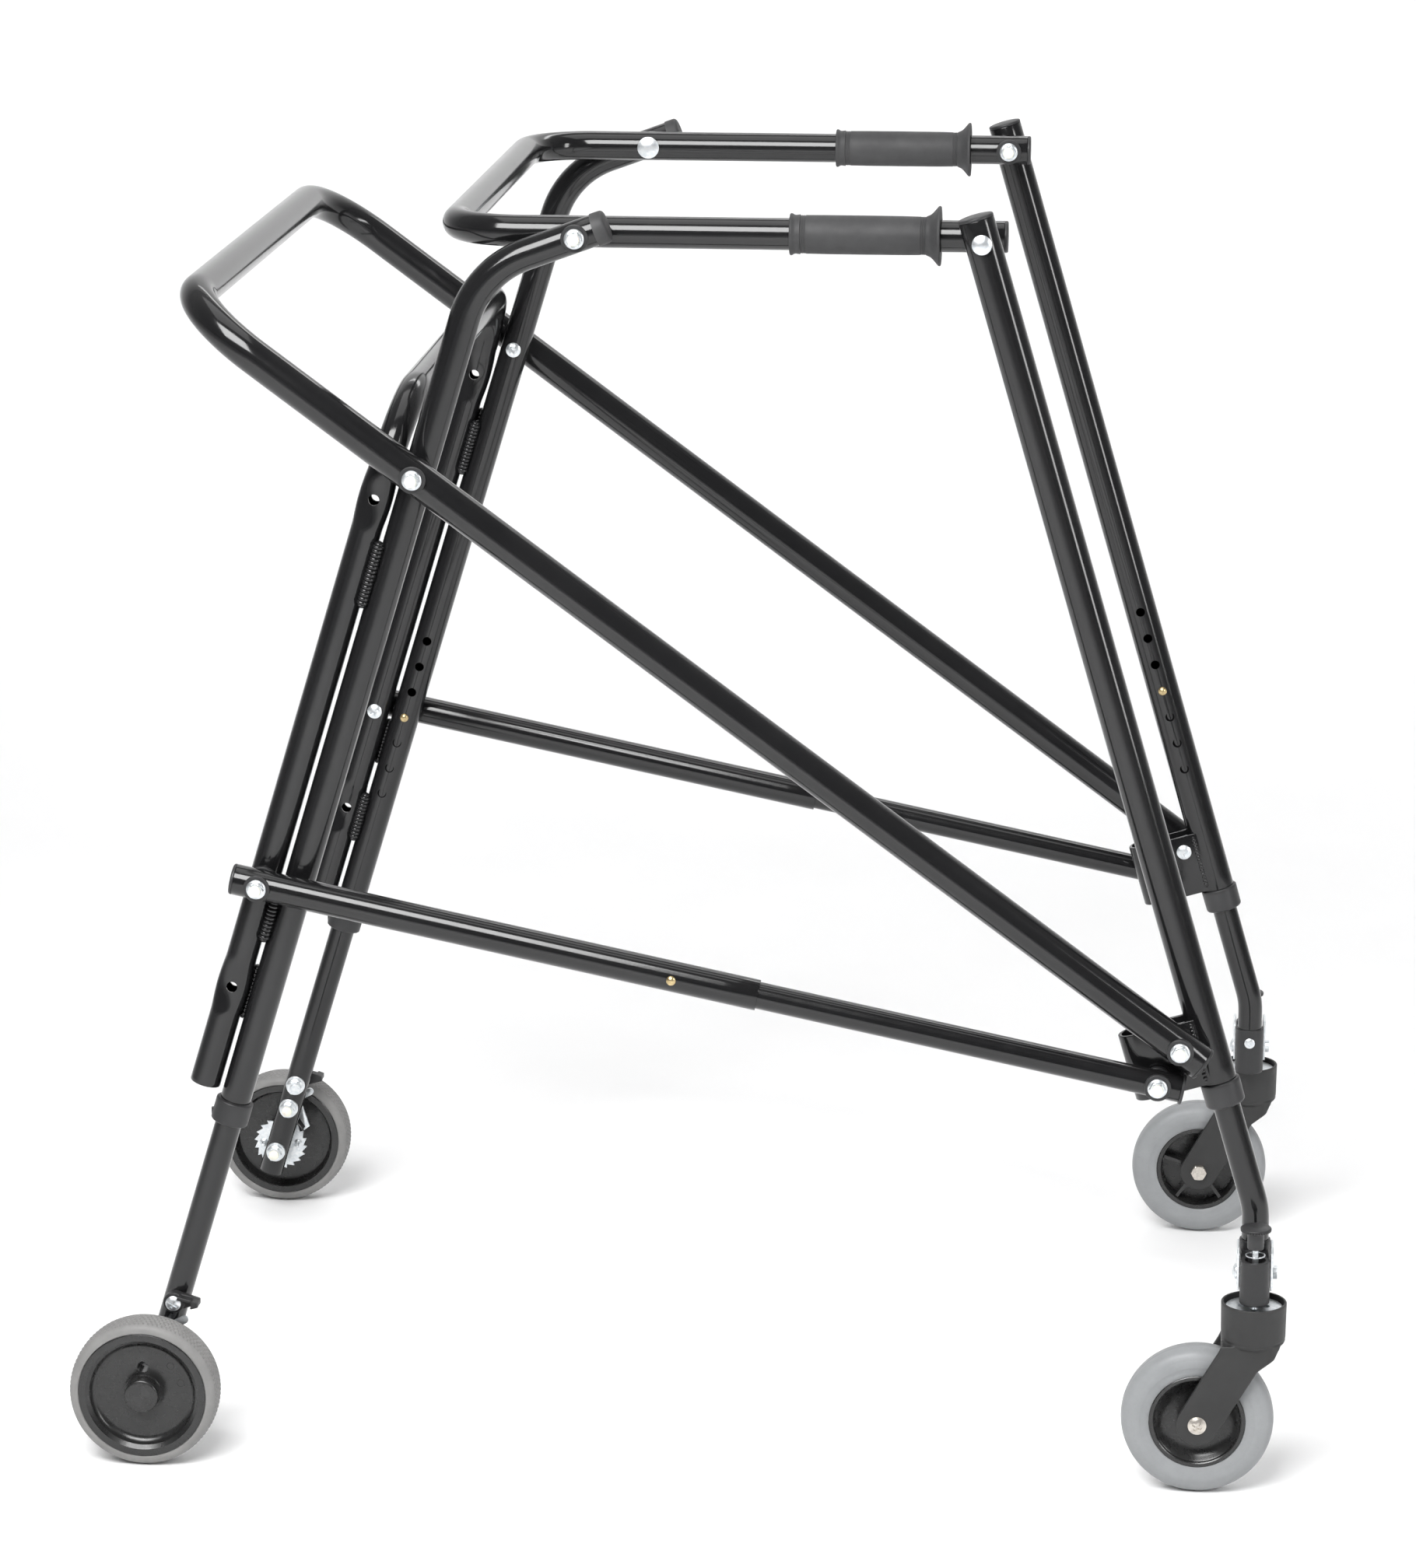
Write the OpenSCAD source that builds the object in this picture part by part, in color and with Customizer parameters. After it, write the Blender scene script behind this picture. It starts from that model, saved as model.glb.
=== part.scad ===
// Folding posterior walking frame: the user stands between two handlebar rails and the frame
// follows behind. Millimetres, +X is the walking direction, +Z is up, the floor is z = 0 and the
// origin is on the floor under the middle of the frame. "left" is +Y, "right" is -Y.

/* [Overall size] */
// Height of the handlebar's centre line above the floor
handle_height = 1025; // [1010:1:1040]
// Distance between the centre lines of the two handlebar rails
handle_spacing = 536; // [500:4:560]
// Distance from the rear axle forward to the handlebar's rear pivot
rear_pivot_x = 361.8; // [350:0.2:370]
// Distance between the handlebar's rear pivot and its front pivot
handle_pivot_gap = 321.4; // [315:0.2:330]

/* [Leg angles] */
// Lean of the rear legs from vertical
rear_rake = 16.9; // [16:0.1:17.5]
// Lean of the front legs from vertical
front_rake = 16.43; // [16:0.01:17]

/* [Tubes] */
// Outside diameter of the handlebar, the upper rear legs and the outer lower bars
main_tube_d = 25.4; // [25:0.1:26]
// Outside diameter of the upper front legs and the diagonal brace
heavy_tube_d = 28.6; // [28:0.1:29]
// Outside diameter of the tubes that slide inside the others
inner_tube_d = 22.2; // [21.8:0.1:22.2]
// Wall thickness of the outer tubes
tube_wall = 1.5; // [1.4:0.05:1.5]

/* [Pivots] */
// Distance up the rear leg from its axle to the diagonal brace's pivot
brace_pivot_up = 808.3; // [800:0.1:815]
// Distance up the rear leg from its axle to the lower bar's pivot
bar_pivot_up = 444.1; // [440:0.1:450]
// Distance down the front leg from its top pivot to the brace's front pivot
brace_pivot_down = 668; // [664:1:672]
// Distance down the front leg from its top pivot to the lower bar's front pivot
bar_pivot_down = 693.4; // [690:0.1:696]
// Distance of the brace's front pivot behind the front leg's centre line
brace_pivot_back = 21; // [20:0.5:22]
// Distance of the lower bar's front pivot behind the front leg's centre line
bar_pivot_back = 46.8; // [45:0.2:48]

/* [Wheels] */
// Diameter of all four wheels
wheel_d = 125; // [120:1:127]
// Width of a rear wheel's tyre
rear_tyre_w = 33; // [30:1:34]
// Width of a front wheel's tyre
front_tyre_w = 30; // [26:1:30]
// Distance of a rear wheel's middle outside its leg's centre line
rear_wheel_out = 46.8; // [46:0.2:50]
// Distance of a front wheel's middle outside its leg's centre line
front_wheel_out = 30; // [29:0.5:33]
// Distance of the front wheel's axle behind its swivel axis
caster_trail = 44; // [42:1:46]

/* [Height setting] */
// Distance between two holes of a leg's height setting
hole_pitch = 25.4; // [24:0.2:26]
// Number of holes above, and again below, the one in use
holes_each_way = 3; // [1:1:3]

/* [Hand grips] */
// Length of a hand grip
grip_length = 120; // [110:1:125]
// Diameter of a hand grip's middle part
grip_d = 31; // [30:0.5:31]

/* [Hidden] */
$fn = 48;
eps = 0.01;
running = 0.05; // radial clearance of a pin in its hole
slip = 0.1; // clearance between faces that slide on each other

main_r = main_tube_d / 2;
heavy_r = heavy_tube_d / 2;
inner_r = inner_tube_d / 2;
inner_wall = 1.5;
heavy_wall = tube_wall + 0.1;
wheel_r = wheel_d / 2;

bolt_r = 4; // M8 pivot bolts
bolt_hole_r = bolt_r + running;
washer_r = 11;
button_r = 3.9; // snap buttons
button_hole_r = button_r + 0.2;

// Planes across the frame, as distances from its middle
rail_y = handle_spacing / 2;
rail_gap = 3.8; // between a rail and the leg bolted to its outside
rear_leg_y = rail_y + main_r + rail_gap + main_r;
front_leg_y = rail_y + main_r + rail_gap + heavy_r;
brace_gap = 4.6; // between a rear leg and the brace or bar outside it
brace_y = rear_leg_y + main_r + brace_gap + heavy_r;
bar_y = rear_leg_y + main_r + brace_gap + main_r;
rear_wheel_y = rear_leg_y + rear_wheel_out;
swivel_y = front_leg_y + front_wheel_out;

// Rear legs: a line through the rear axle, and the hoop's arm parallel to it
hoop_offset = 28.1; // centre to centre, behind the leg
rear_dir = [sin(rear_rake), 0, cos(rear_rake)];
rear_back = [-cos(rear_rake), 0, sin(rear_rake)];
axle = [0, 0, wheel_r];
function on_rear_leg(up, y, back = 0) = axle + rear_dir * up + rear_back * back + [0, y, 0];

// Front legs: a line down from the handlebar's front pivot
front_top = [rear_pivot_x + handle_pivot_gap, 0, handle_height];
front_down = [sin(front_rake), 0, -cos(front_rake)];
front_back = [-cos(front_rake), 0, -sin(front_rake)];
function on_front_leg(down, y, back = 0) =
    front_top + front_down * down + front_back * back + [0, y, 0];

// Pivots, in the plane of the frame's side
rear_top = [rear_pivot_x, 0, handle_height];
brace_rear = on_rear_leg(brace_pivot_up, 0);
brace_front = on_front_leg(brace_pivot_down, 0, brace_pivot_back);
bar_rear = on_rear_leg(bar_pivot_up, 0, hoop_offset);
bar_front = on_front_leg(bar_pivot_down, 0, bar_pivot_back);
brace_dir = unit(brace_front - brace_rear);
bar_dir = unit(bar_front - bar_rear);
bar_span = norm(bar_front - bar_rear);

// Rear leg's curved top, which runs forward to the handlebar
top_angle = 20; // above horizontal
top_dir = [cos(top_angle), 0, sin(top_angle)];
leg_bend_r = 80;
leg_end_past_pivot = 22;
corner_up = let (rise = tan(top_angle), lean = tan(rear_rake))
    (handle_height + rise * (-rear_pivot_x) - wheel_r) / (1 - rise * lean) / cos(rear_rake);

// Rear leg stations, measured up from the axle
collar_up = 231;
collar_h = 20;
rear_tube_up = collar_up + 4;
rear_button_up = 446.8;
hoop_bottom_up = 257.4;
hoop_top_up = 857;
hoop_bend_r = 70;
hoop_hole_ups = [346.3, 774.8];
hoop_hole_r = 4.5;

// Front leg stations, measured down from the top pivot
front_tube_top = -18.7;
front_collar_down = 711;
front_collar_h = 21;
front_tube_down = front_collar_down + 17;
front_button_down = 515.8;

// Gusset bracket on the front leg, a hairpin of plate
gusset_top = 653.3;
gusset_h = 56.2;
gusset_reach = 69.6; // to the outside of the hairpin's bend
gusset_w = 26; // outside width
gusset_t = 3;
pivot_face_y = front_leg_y + heavy_r + 0.25; // where the brace and the bar meet the gusset's bosses

// Handlebar and brace
handle_rear_x = rear_pivot_x - 105;
handle_front_x = front_top[0] + 16.5;
handle_bend_r = 55;
brace_tail = 228; // from the rear pivot to the cross tube
brace_bend_r = 70;
brace_end = 21; // past the front pivot
grip_start_x = rear_pivot_x + 167.4;

// Lower bars, measured forward from the rear pivot
bar_rear_end = -20.5;
bar_outer_end = 416;
bar_inner_start = 318;
bar_button_at = 344.9;
bar_end_past_pivot = 19;

// Lower front leg, caster head and fork
swivel_x = front_top[0] + 233.3;
foot_corner_down = (swivel_x - front_top[0]) / sin(front_rake);
foot_bend_r = 70;
foot_z = 169;
head_z = 166;
head_top_z = 203;
socket_top_z = 208;
lock_y = swivel_y + 10;
cup_r = 26.7;
cup_top_z = 164.2;
plate_top_z = 160;
fork_floor_z = 150;
fork_slot_z = 127.5;
fork_slot = 17; // half width of the wheel's slot
fork_half_w = 22;
front_axle = [swivel_x - caster_trail, 0, wheel_r];
front_hub_r = 39.5;
rear_hub_r = 53.5;

// Reverse lock on the rear wheel
ratchet_r = 25.5;
ratchet_teeth = 20;
ratchet_y = 315.6 - 297.2 + rear_leg_y;
ratchet_t = 2;
guide_bolt_up = 45.6;
lever_up = 69.5;
pawl_at = 50; // where the pawl's tooth meets the ratchet, up from straight ahead of the leg
pawl_tip_r = 22.9; // when engaged
pawl_throw = 7;

// The frame's middle, half way from the rear tyre's back to the caster cup's front
mid_x = (swivel_x + cup_r - wheel_r) / 2;

black = [0.10, 0.10, 0.11];
plastic = [0.20, 0.20, 0.21];
rubber = [0.15, 0.15, 0.16];
zinc = [0.78, 0.80, 0.82];
brass = [0.72, 0.58, 0.30];
cream = [0.92, 0.90, 0.82];
tyre_grey = [0.68, 0.70, 0.71];
tread_grey = [0.60, 0.59, 0.57];

// ---------------------------------------------------------------- helpers

function unit(v) = v / norm(v);

// Everything is drawn with x = 0 at the rear axle and moved to the middle here
module placed() translate([-mid_x, 0, 0]) children();

// Draws its children on the left (+Y), or mirrored on the right
module side(s) {
    if (s > 0) children();
    else mirror([0, 1, 0]) children();
}
module both() {
    side(1) children();
    side(-1) children();
}

// Points +Z of its children from a towards b
module aim(a, b) {
    d = b - a;
    translate(a) rotate([0, acos(d[2] / norm(d)), atan2(d[1], d[0])]) children();
}
module rod(a, b, r) aim(a, b) cylinder(h = norm(b - a), r = r);
module ring(ro, ri) difference() {
    circle(ro);
    circle(ri);
}
module pipe(a, b, ro, ri) aim(a, b) linear_extrude(norm(b - a)) ring(ro, ri);

// A cylinder across the frame at point p, from y0 to y1
module cross_rod(p, y0, y1, r) translate([p[0], y0, p[2]]) rotate([-90, 0, 0]) cylinder(h = y1 - y0, r = r);

// A tube is drawn as a chain of straight runs and round bends, each starting at the origin along
// +Z and placing its children at its own end. A bend turns towards +X; it laps into the runs.
lap = 0.3; // degrees
module run(length, ro, ri) {
    linear_extrude(length) ring(ro, ri);
    translate([0, 0, length]) children();
}
module bend(turn, bend_r, ro, ri) {
    translate([bend_r, 0, 0]) rotate([90, 0, 180]) rotate(-lap) rotate_extrude(angle = turn + 2 * lap)
        translate([bend_r, 0]) ring(ro - eps, ri + eps);
    translate([bend_r, 0, 0]) rotate([0, turn, 0]) translate([-bend_r, 0, 0]) children();
}

// A U of tube: it starts at p on the right, runs backwards along an axis tilted by angle below
// the horizontal, crosses to the left and comes back
module u_tube(p, half_w, angle, length, bend_r, ro, ri)
    translate([p[0], -half_w, p[2]]) rotate([0, angle, 0]) rotate([-90, 0, 0]) rotate([0, -90, 0])
        run(length - bend_r, ro, ri) bend(90, bend_r, ro, ri) run(2 * (half_w - bend_r), ro, ri)
            bend(90, bend_r, ro, ri) run(length - bend_r, ro, ri);

// Frames of the two legs: +Z runs along the leg from its origin
module rear_leg_axes(y) translate(on_rear_leg(0, y)) rotate([0, rear_rake, 0]) children();
module front_leg_axes(y) translate(on_front_leg(0, y)) rotate([0, 180 - front_rake, 0]) children();

// Low dome of radius r and height h, flat side at z = 0
module dome(r, h) {
    ball = (r * r + h * h) / (2 * h);
    intersection() {
        translate([0, 0, h - ball]) sphere(ball);
        translate([-2 * r, -2 * r, 0]) cube([4 * r, 4 * r, 2 * h]);
    }
}

// Disc of radius r with a domed end: flat is the height of its side, h that of the dome
module domed_disc(r, flat, h) {
    cylinder(h = flat, r = r);
    translate([0, 0, flat]) dome(r - 0.15, h);
}

// Cross-recessed pan head facing +Z, flat side at z = 0
module pan_head(r, h) difference() {
    dome(r, h);
    for (a = [0, 90]) rotate(a) translate([-r * 0.5, -r * 0.1, h - 1.6]) cube([r, r * 0.2, 2]);
}

// Flanged nut facing +Z over a bolt of radius hole
module flange_nut(hole) difference() {
    union() {
        cylinder(h = 1.8, r = 8);
        cylinder(h = 6.2, r = 6.9, $fn = 6);
    }
    translate([0, 0, -1]) cylinder(h = 9, r = hole + running);
}

// Cap over a nut's bolt end, facing +Z and standing on the nut
module nut_cap() translate([0, 0, 6.2 + running]) domed_disc(4.9, 1.8, 2.2);

// Turns +Z of its children to +Y (facing = 1) or -Y (facing = -1) at point p and distance y
module across(p, y, facing) translate([p[0], y, p[2]]) rotate([-90 * facing, 0, 0]) children();

// Washer that is flat on one side and hollowed on the other to sit on a tube.
// It runs from y0 to y1 at p; the tube of radius r lies at tube_y and runs along d.
module saddle_washer(p, y0, y1, tube_y, r, d) difference() {
    cross_rod(p, y0, y1, washer_r);
    cross_rod(p, y0 - 1, y1 + 1, bolt_hole_r);
    rod([p[0], tube_y, p[2]] - d * 30, [p[0], tube_y, p[2]] + d * 30, r + 0.02);
}
module flat_washer(p, y0, y1) difference() {
    cross_rod(p, y0, y1, washer_r);
    cross_rod(p, y0 - 1, y1 + 1, bolt_hole_r);
}

// Snap button: a round-nosed pin on a leaf spring. Its nose points along +Z from the tube's
// axis at z = 0, reach is the radius of the tube it locks, and +X runs along the tube.
module snap_button(reach) {
    base = 4.6;
    translate([0, 0, base]) domed_disc(button_r, reach + 0.9 - base, 1.9);
    translate([-4, -3, base - 0.8]) cube([34, 6, 0.8]);
}

// Row of height-setting holes through one wall, along +Z from the hole in use
module setting_holes(r_out, facing) for (k = [-holes_each_way:holes_each_way])
    translate([0, 0, k * hole_pitch])
            rotate([-90 * facing, 0, 0])
                cylinder(h = r_out + 2, r = button_hole_r);

// ---------------------------------------------------------------- rear frame (does not move)

module rear_leg_tube() {
    turn = 90 - rear_rake - top_angle;
    setback = leg_bend_r * tan(turn / 2);
    past_corner = norm(rear_top - on_rear_leg(corner_up, 0)) + leg_end_past_pivot;
    bore_r = main_r - tube_wall;
    rear_leg_axes(rear_leg_y) translate([0, 0, rear_tube_up])
        run(corner_up - setback - rear_tube_up, main_r, bore_r) bend(turn, leg_bend_r, main_r, bore_r)
            run(past_corner - setback, main_r, bore_r);
}

module seam_weld(from, to, out) rear_leg_axes(rear_leg_y + out)
    translate([-hoop_offset / 2, 0, from]) cylinder(h = to - from, r = 5);

module rear_frame() placed() color(black) difference() {
    union() {
        both() rear_leg_tube();
        u_tube(on_rear_leg(hoop_bottom_up, 0, hoop_offset), rear_leg_y, 90 + rear_rake,
            hoop_top_up - hoop_bottom_up, hoop_bend_r, main_r, main_r - tube_wall);
        both() {
            seam_weld(686, 744, 8.6);
            seam_weld(391, 436, 8.6);
            seam_weld(682, 735, -8.6);
            seam_weld(317, 366, -8.6);
        }
    }
    both() {
        cross_rod(rear_top, rear_leg_y - 20, rear_leg_y + 20, bolt_hole_r);
        cross_rod(brace_rear, rear_leg_y - 20, rear_leg_y + 20, bolt_hole_r);
        cross_rod(bar_rear, rear_leg_y - 20, rear_leg_y + 20, bolt_hole_r);
        for (up = hoop_hole_ups)
            cross_rod(on_rear_leg(up, 0, hoop_offset), rear_leg_y - 20, rear_leg_y + 20, hoop_hole_r);
        rear_leg_axes(rear_leg_y) translate([0, 0, rear_button_up]) setting_holes(main_r, -1);
    }
}

module rear_leg_collars() placed() color(plastic) both() rear_leg_axes(rear_leg_y)
    translate([0, 0, collar_up]) difference() {
        union() {
            cylinder(h = collar_h - 2, r = 15.6);
            translate([0, 0, collar_h - 2]) cylinder(h = 2, r1 = 15.6, r2 = 14.4, $fn = 64);
        }
        translate([0, 0, -1]) cylinder(h = collar_h + 2, r = inner_r + slip);
        translate([0, 0, 4 - running]) cylinder(h = collar_h, r = main_r + running);
    }

module rear_leg_caps() placed() color(rubber) both() {
    end = rear_top + top_dir * leg_end_past_pivot + [0, rear_leg_y, 0];
    aim(end, end + top_dir) difference() {
        union() {
            translate([0, 0, -6]) domed_disc(main_r + 0.7, 8, 3);
        }
        translate([0, 0, -7]) cylinder(h = 7 + running, r = main_r + running);
    }
}

module rear_pivot_bolts() placed() both() {
    // handlebar's rear pivots: head inside the rail, nut outside the leg
    color(zinc) across(rear_top, rail_y - main_r - slip, -1) pan_head(8, 3.4);
    color(zinc) cross_rod(rear_top, rail_y - main_r - slip, rear_leg_y + main_r + 7.2, bolt_r);
    rear_nut(rear_top, rear_leg_y + main_r + 1.6);
    // brace's and lower bar's rear pivots: head inside the leg, nut outside the outer tube
    for (p = [[brace_rear, brace_y + heavy_r], [bar_rear, bar_y + main_r]]) {
        color(zinc) across(p[0], rear_leg_y - main_r, -1) pan_head(8, 3.4);
        color(zinc) cross_rod(p[0], rear_leg_y - main_r, p[1] + 7.8, bolt_r);
        rear_nut(p[0], p[1] + 2.2);
    }
}
module rear_nut(p, y) {
    color(zinc) across(p, y, 1) flange_nut(bolt_r);
    color(cream) across(p, y, 1) nut_cap();
}

module rear_pivot_washers() placed() color(plastic) both() {
    // between rail and leg: hollow on the leg, flat on the rail
    saddle_washer(rear_top, rail_y + main_r + slip, rear_leg_y - main_r + 4, rear_leg_y, main_r, top_dir);
    // under the nut on the leg
    saddle_washer(rear_top, rear_leg_y + main_r - 4, rear_leg_y + main_r + 1.55,
                      rear_leg_y, main_r, top_dir);
    // between the leg and the brace, and between the hoop and the lower bar
    saddle_washer(brace_rear, rear_leg_y + main_r - 4, brace_y - heavy_r - slip,
                      rear_leg_y, main_r, rear_dir);
    saddle_washer(bar_rear, rear_leg_y + main_r - 4, bar_y - main_r - slip, rear_leg_y, main_r, rear_dir);
    // under the outer nuts
    flat_washer(brace_rear, brace_y + heavy_r + slip, brace_y + heavy_r + 2.15);
    flat_washer(bar_rear, bar_y + main_r + slip, bar_y + main_r + 2.15);
}

// ---------------------------------------------------------------- handlebar

module handlebar() placed() color(black) difference() {
    u_tube([handle_front_x, 0, handle_height], rail_y, 0, handle_front_x - handle_rear_x,
        handle_bend_r, main_r, main_r - tube_wall);
    both() for (p = [rear_top, front_top]) cross_rod(p, rail_y - 20, rail_y + 20, bolt_hole_r);
}

// Grip profile: [distance from its rear end, radius]
grip_profile = [
    [0, main_r + running], [0, 15.9], [1.1, 16.7], [2.3, 16.4], [4.4, grip_d / 2 - 0.2], [8, grip_d / 2],
    [104, grip_d / 2 - 0.1], [108.7, 15.6], [112, 17.1], [115.2, 20.3], [118.3, 23.7], [grip_length, 22.9],
    [grip_length, main_r + running]
];
module hand_grips() placed() color(rubber) both()
    translate([grip_start_x, rail_y, handle_height]) rotate([0, 90, 0])
        rotate_extrude($fn = 64) polygon([for (p = grip_profile) [p[1], min(p[0], grip_length)]]);

module handlebar_caps() placed() color(plastic) both()
    translate([handle_front_x, rail_y, handle_height]) rotate([0, 90, 0]) {
        domed_disc(main_r, 1.4, 2);
        translate([0, 0, -8]) difference() {
            cylinder(h = 8 + eps, r = main_r - tube_wall - running);
            translate([0, 0, -1]) cylinder(h = 8, r = main_r - tube_wall - 2.5);
        }
    }

// ---------------------------------------------------------------- front legs

module gusset() front_leg_axes(front_leg_y) translate([0, 0, gusset_top]) linear_extrude(gusset_h) {
    bend_at = gusset_reach - gusset_w / 2;
    for (s = [-1, 1]) translate([4, s > 0 ? gusset_w / 2 - gusset_t : -gusset_w / 2])
        square([bend_at - 4, gusset_t]);
    translate([bend_at, 0]) intersection() {
        ring(gusset_w / 2, gusset_w / 2 - gusset_t);
        translate([0, -gusset_w]) square([gusset_w, 2 * gusset_w]);
    }
}

module front_leg() difference() {
    union() {
        rod(on_front_leg(front_tube_top, front_leg_y), on_front_leg(front_tube_down, front_leg_y), heavy_r);
        gusset();
        // fillet welds along the gusset's plates
        front_leg_axes(front_leg_y) for (s = [-1, 1])
            translate([9.5, s * 11.4, gusset_top + 1]) cylinder(h = gusset_h - 2, r = 2.6);
        // bosses round the two outer pivots
        for (p = [brace_front, bar_front])
            cross_rod(p, front_leg_y + gusset_w / 2 - eps, pivot_face_y - slip, 9);
    }
    rod(on_front_leg(front_tube_top - 1, front_leg_y), on_front_leg(front_tube_down + 1, front_leg_y),
        heavy_r - heavy_wall);
    cross_rod(front_top, front_leg_y - 20, front_leg_y + 20, bolt_hole_r);
    for (p = [brace_front, bar_front]) cross_rod(p, front_leg_y - 20, front_leg_y + 20, bolt_hole_r);
    front_leg_axes(front_leg_y) translate([0, 0, front_button_down]) setting_holes(heavy_r, -1);
}
module front_leg_right() placed() color(black) side(-1) front_leg();
module front_leg_left() placed() color(black) side(1) front_leg();

module front_leg_caps() placed() color(plastic) both()
    aim(on_front_leg(front_tube_top, front_leg_y), on_front_leg(front_tube_top - 1, front_leg_y)) {
        domed_disc(heavy_r, 1.6, 1.6);
        translate([0, 0, -8]) difference() {
            cylinder(h = 8 + eps, r = heavy_r - heavy_wall - running);
            translate([0, 0, -1]) cylinder(h = 8, r = heavy_r - heavy_wall - 2.5);
        }
    }

// Collar over the tube's lower end, with a sleeve inside that guides the sliding tube
module front_leg_collars() placed() color(plastic) both() front_leg_axes(front_leg_y)
    translate([0, 0, front_collar_down]) difference() {
        union() {
            cylinder(h = 2, r1 = 15.6, r2 = 16.4, $fn = 64);
            translate([0, 0, 2]) cylinder(h = front_collar_h - 2, r = 16.4);
            translate([0, 0, -14]) cylinder(h = 30, r = heavy_r - heavy_wall - running);
        }
        translate([0, 0, -15]) cylinder(h = 60, r = inner_r + slip);
        translate([0, 0, -1]) linear_extrude(front_tube_down - front_collar_down + 1 + running)
            ring(heavy_r + running, heavy_r - heavy_wall - running);
    }

module front_pivot_bolts() placed() both() {
    // handlebar's front pivots: domed head outside the leg, nut inside the rail
    color(zinc) across(front_top, front_leg_y + heavy_r + 1, 1) dome(8.2, 4.6);
    color(zinc) cross_rod(front_top, rail_y - main_r - 7.8, front_leg_y + heavy_r + 1, bolt_r);
    color(zinc) across(front_top, rail_y - main_r - 2.2, -1) flange_nut(bolt_r);
    color(cream) across(front_top, rail_y - main_r - 2.2, -1) nut_cap();
    // the gusset's two bolts: heads inside, ending at the face where the brace and the bar start
    for (p = [brace_front, bar_front]) {
        color(zinc) across(p, front_leg_y - gusset_w / 2, -1) pan_head(8, 3.4);
        color(zinc) cross_rod(p, front_leg_y - gusset_w / 2, pivot_face_y - slip, bolt_r);
    }
}

module front_pivot_washers() placed() color(plastic) both() {
    saddle_washer(front_top, rail_y + main_r + slip, front_leg_y - heavy_r + 4,
                      front_leg_y, heavy_r, front_down);
    saddle_washer(front_top, front_leg_y + heavy_r - 4, front_leg_y + heavy_r + 0.95,
                      front_leg_y, heavy_r, front_down);
    flat_washer(front_top, rail_y - main_r - 2.15, rail_y - main_r - slip);
}

// ---------------------------------------------------------------- diagonal brace

module brace_frame() placed() color(black) difference() {
    length = norm(brace_front - brace_rear) + brace_tail + brace_end;
    u_tube(brace_front + brace_dir * brace_end, brace_y, acos(brace_dir[0]), length,
        brace_bend_r, heavy_r, heavy_r - heavy_wall);
    both() for (p = [brace_rear, brace_front]) cross_rod(p, brace_y - 20, brace_y + 20, bolt_hole_r);
}

// Plug in a tube's end at point p, facing along d
module end_plug(p, d, ro, ri) aim(p, p + d) {
    domed_disc(ro, 1.2, 1.8);
    translate([0, 0, -9]) difference() {
        cylinder(h = 9 + eps, r = ri - running);
        translate([0, 0, -1]) cylinder(h = 9, r = ri - 2.5);
    }
}

module brace_end_fittings() placed() color(plastic) both() {
    end_plug(brace_front + brace_dir * brace_end + [0, brace_y, 0], brace_dir,
                 heavy_r, heavy_r - heavy_wall);
    saddle_washer(brace_front, pivot_face_y, brace_y - heavy_r + 4, brace_y, heavy_r, brace_dir);
    saddle_washer(brace_front, brace_y + heavy_r - 4, brace_y + heavy_r + 1.55,
                      brace_y, heavy_r, brace_dir);
}

module outer_nut(p, y_start, y_nut) {
    color(zinc) cross_rod(p, y_start, y_nut + 5.6, bolt_r);
    color(zinc) across(p, y_nut, 1) flange_nut(bolt_r);
    color(cream) across(p, y_nut, 1) nut_cap();
}
module brace_nuts() placed() both() outer_nut(brace_front, pivot_face_y, brace_y + heavy_r + 1.6);

// ---------------------------------------------------------------- telescopic lower bars

function on_bar(along) = bar_rear + bar_dir * along + [0, bar_y, 0];

module lower_bars_outer() placed() color(black) both() difference() {
    pipe(on_bar(bar_rear_end), on_bar(bar_outer_end), main_r, inner_r + slip);
    cross_rod(bar_rear, bar_y - 20, bar_y + 20, bolt_hole_r);
    cross_rod(on_bar(bar_button_at), bar_y, bar_y + 20, button_hole_r);
}
module lower_bar_rear_caps() placed() color(plastic) both()
    end_plug(on_bar(bar_rear_end), -bar_dir, main_r, inner_r + slip);

module lower_bars_inner() placed() color(black) both() difference() {
    pipe(on_bar(bar_inner_start), on_bar(bar_span + bar_end_past_pivot), inner_r, inner_r - inner_wall);
    cross_rod(bar_front, bar_y - 20, bar_y + 20, bolt_hole_r);
    cross_rod(on_bar(bar_button_at), bar_y, bar_y + 20, button_hole_r);
}
module lower_bar_end_fittings() placed() color(plastic) both() {
    end_plug(on_bar(bar_span + bar_end_past_pivot), bar_dir, inner_r, inner_r - inner_wall);
    saddle_washer(bar_front, pivot_face_y, bar_y - inner_r + 4, bar_y, inner_r, bar_dir);
    saddle_washer(bar_front, bar_y + inner_r - 4, bar_y + inner_r + 1.55, bar_y, inner_r, bar_dir);
}
module lower_bar_nuts() placed() both() outer_nut(bar_front, pivot_face_y, bar_y + inner_r + 1.6);

module bar_button(s) placed() color(brass) side(s) {
    a = atan2(bar_dir[2], bar_dir[0]);
    translate(on_bar(bar_button_at)) rotate([0, -a, 0]) rotate([-90, 0, 0]) snap_button(main_r);
}
module bar_button_right() bar_button(-1);
module bar_button_left() bar_button(1);

// ---------------------------------------------------------------- sliding rear legs

module rear_button(s) placed() color(brass) side(s) rear_leg_axes(rear_leg_y)
    translate([0, 0, rear_button_up]) rotate([90, 0, 0]) rotate([0, 0, -90]) snap_button(main_r);
module rear_button_right() rear_button(-1);
module rear_button_left() rear_button(1);

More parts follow.
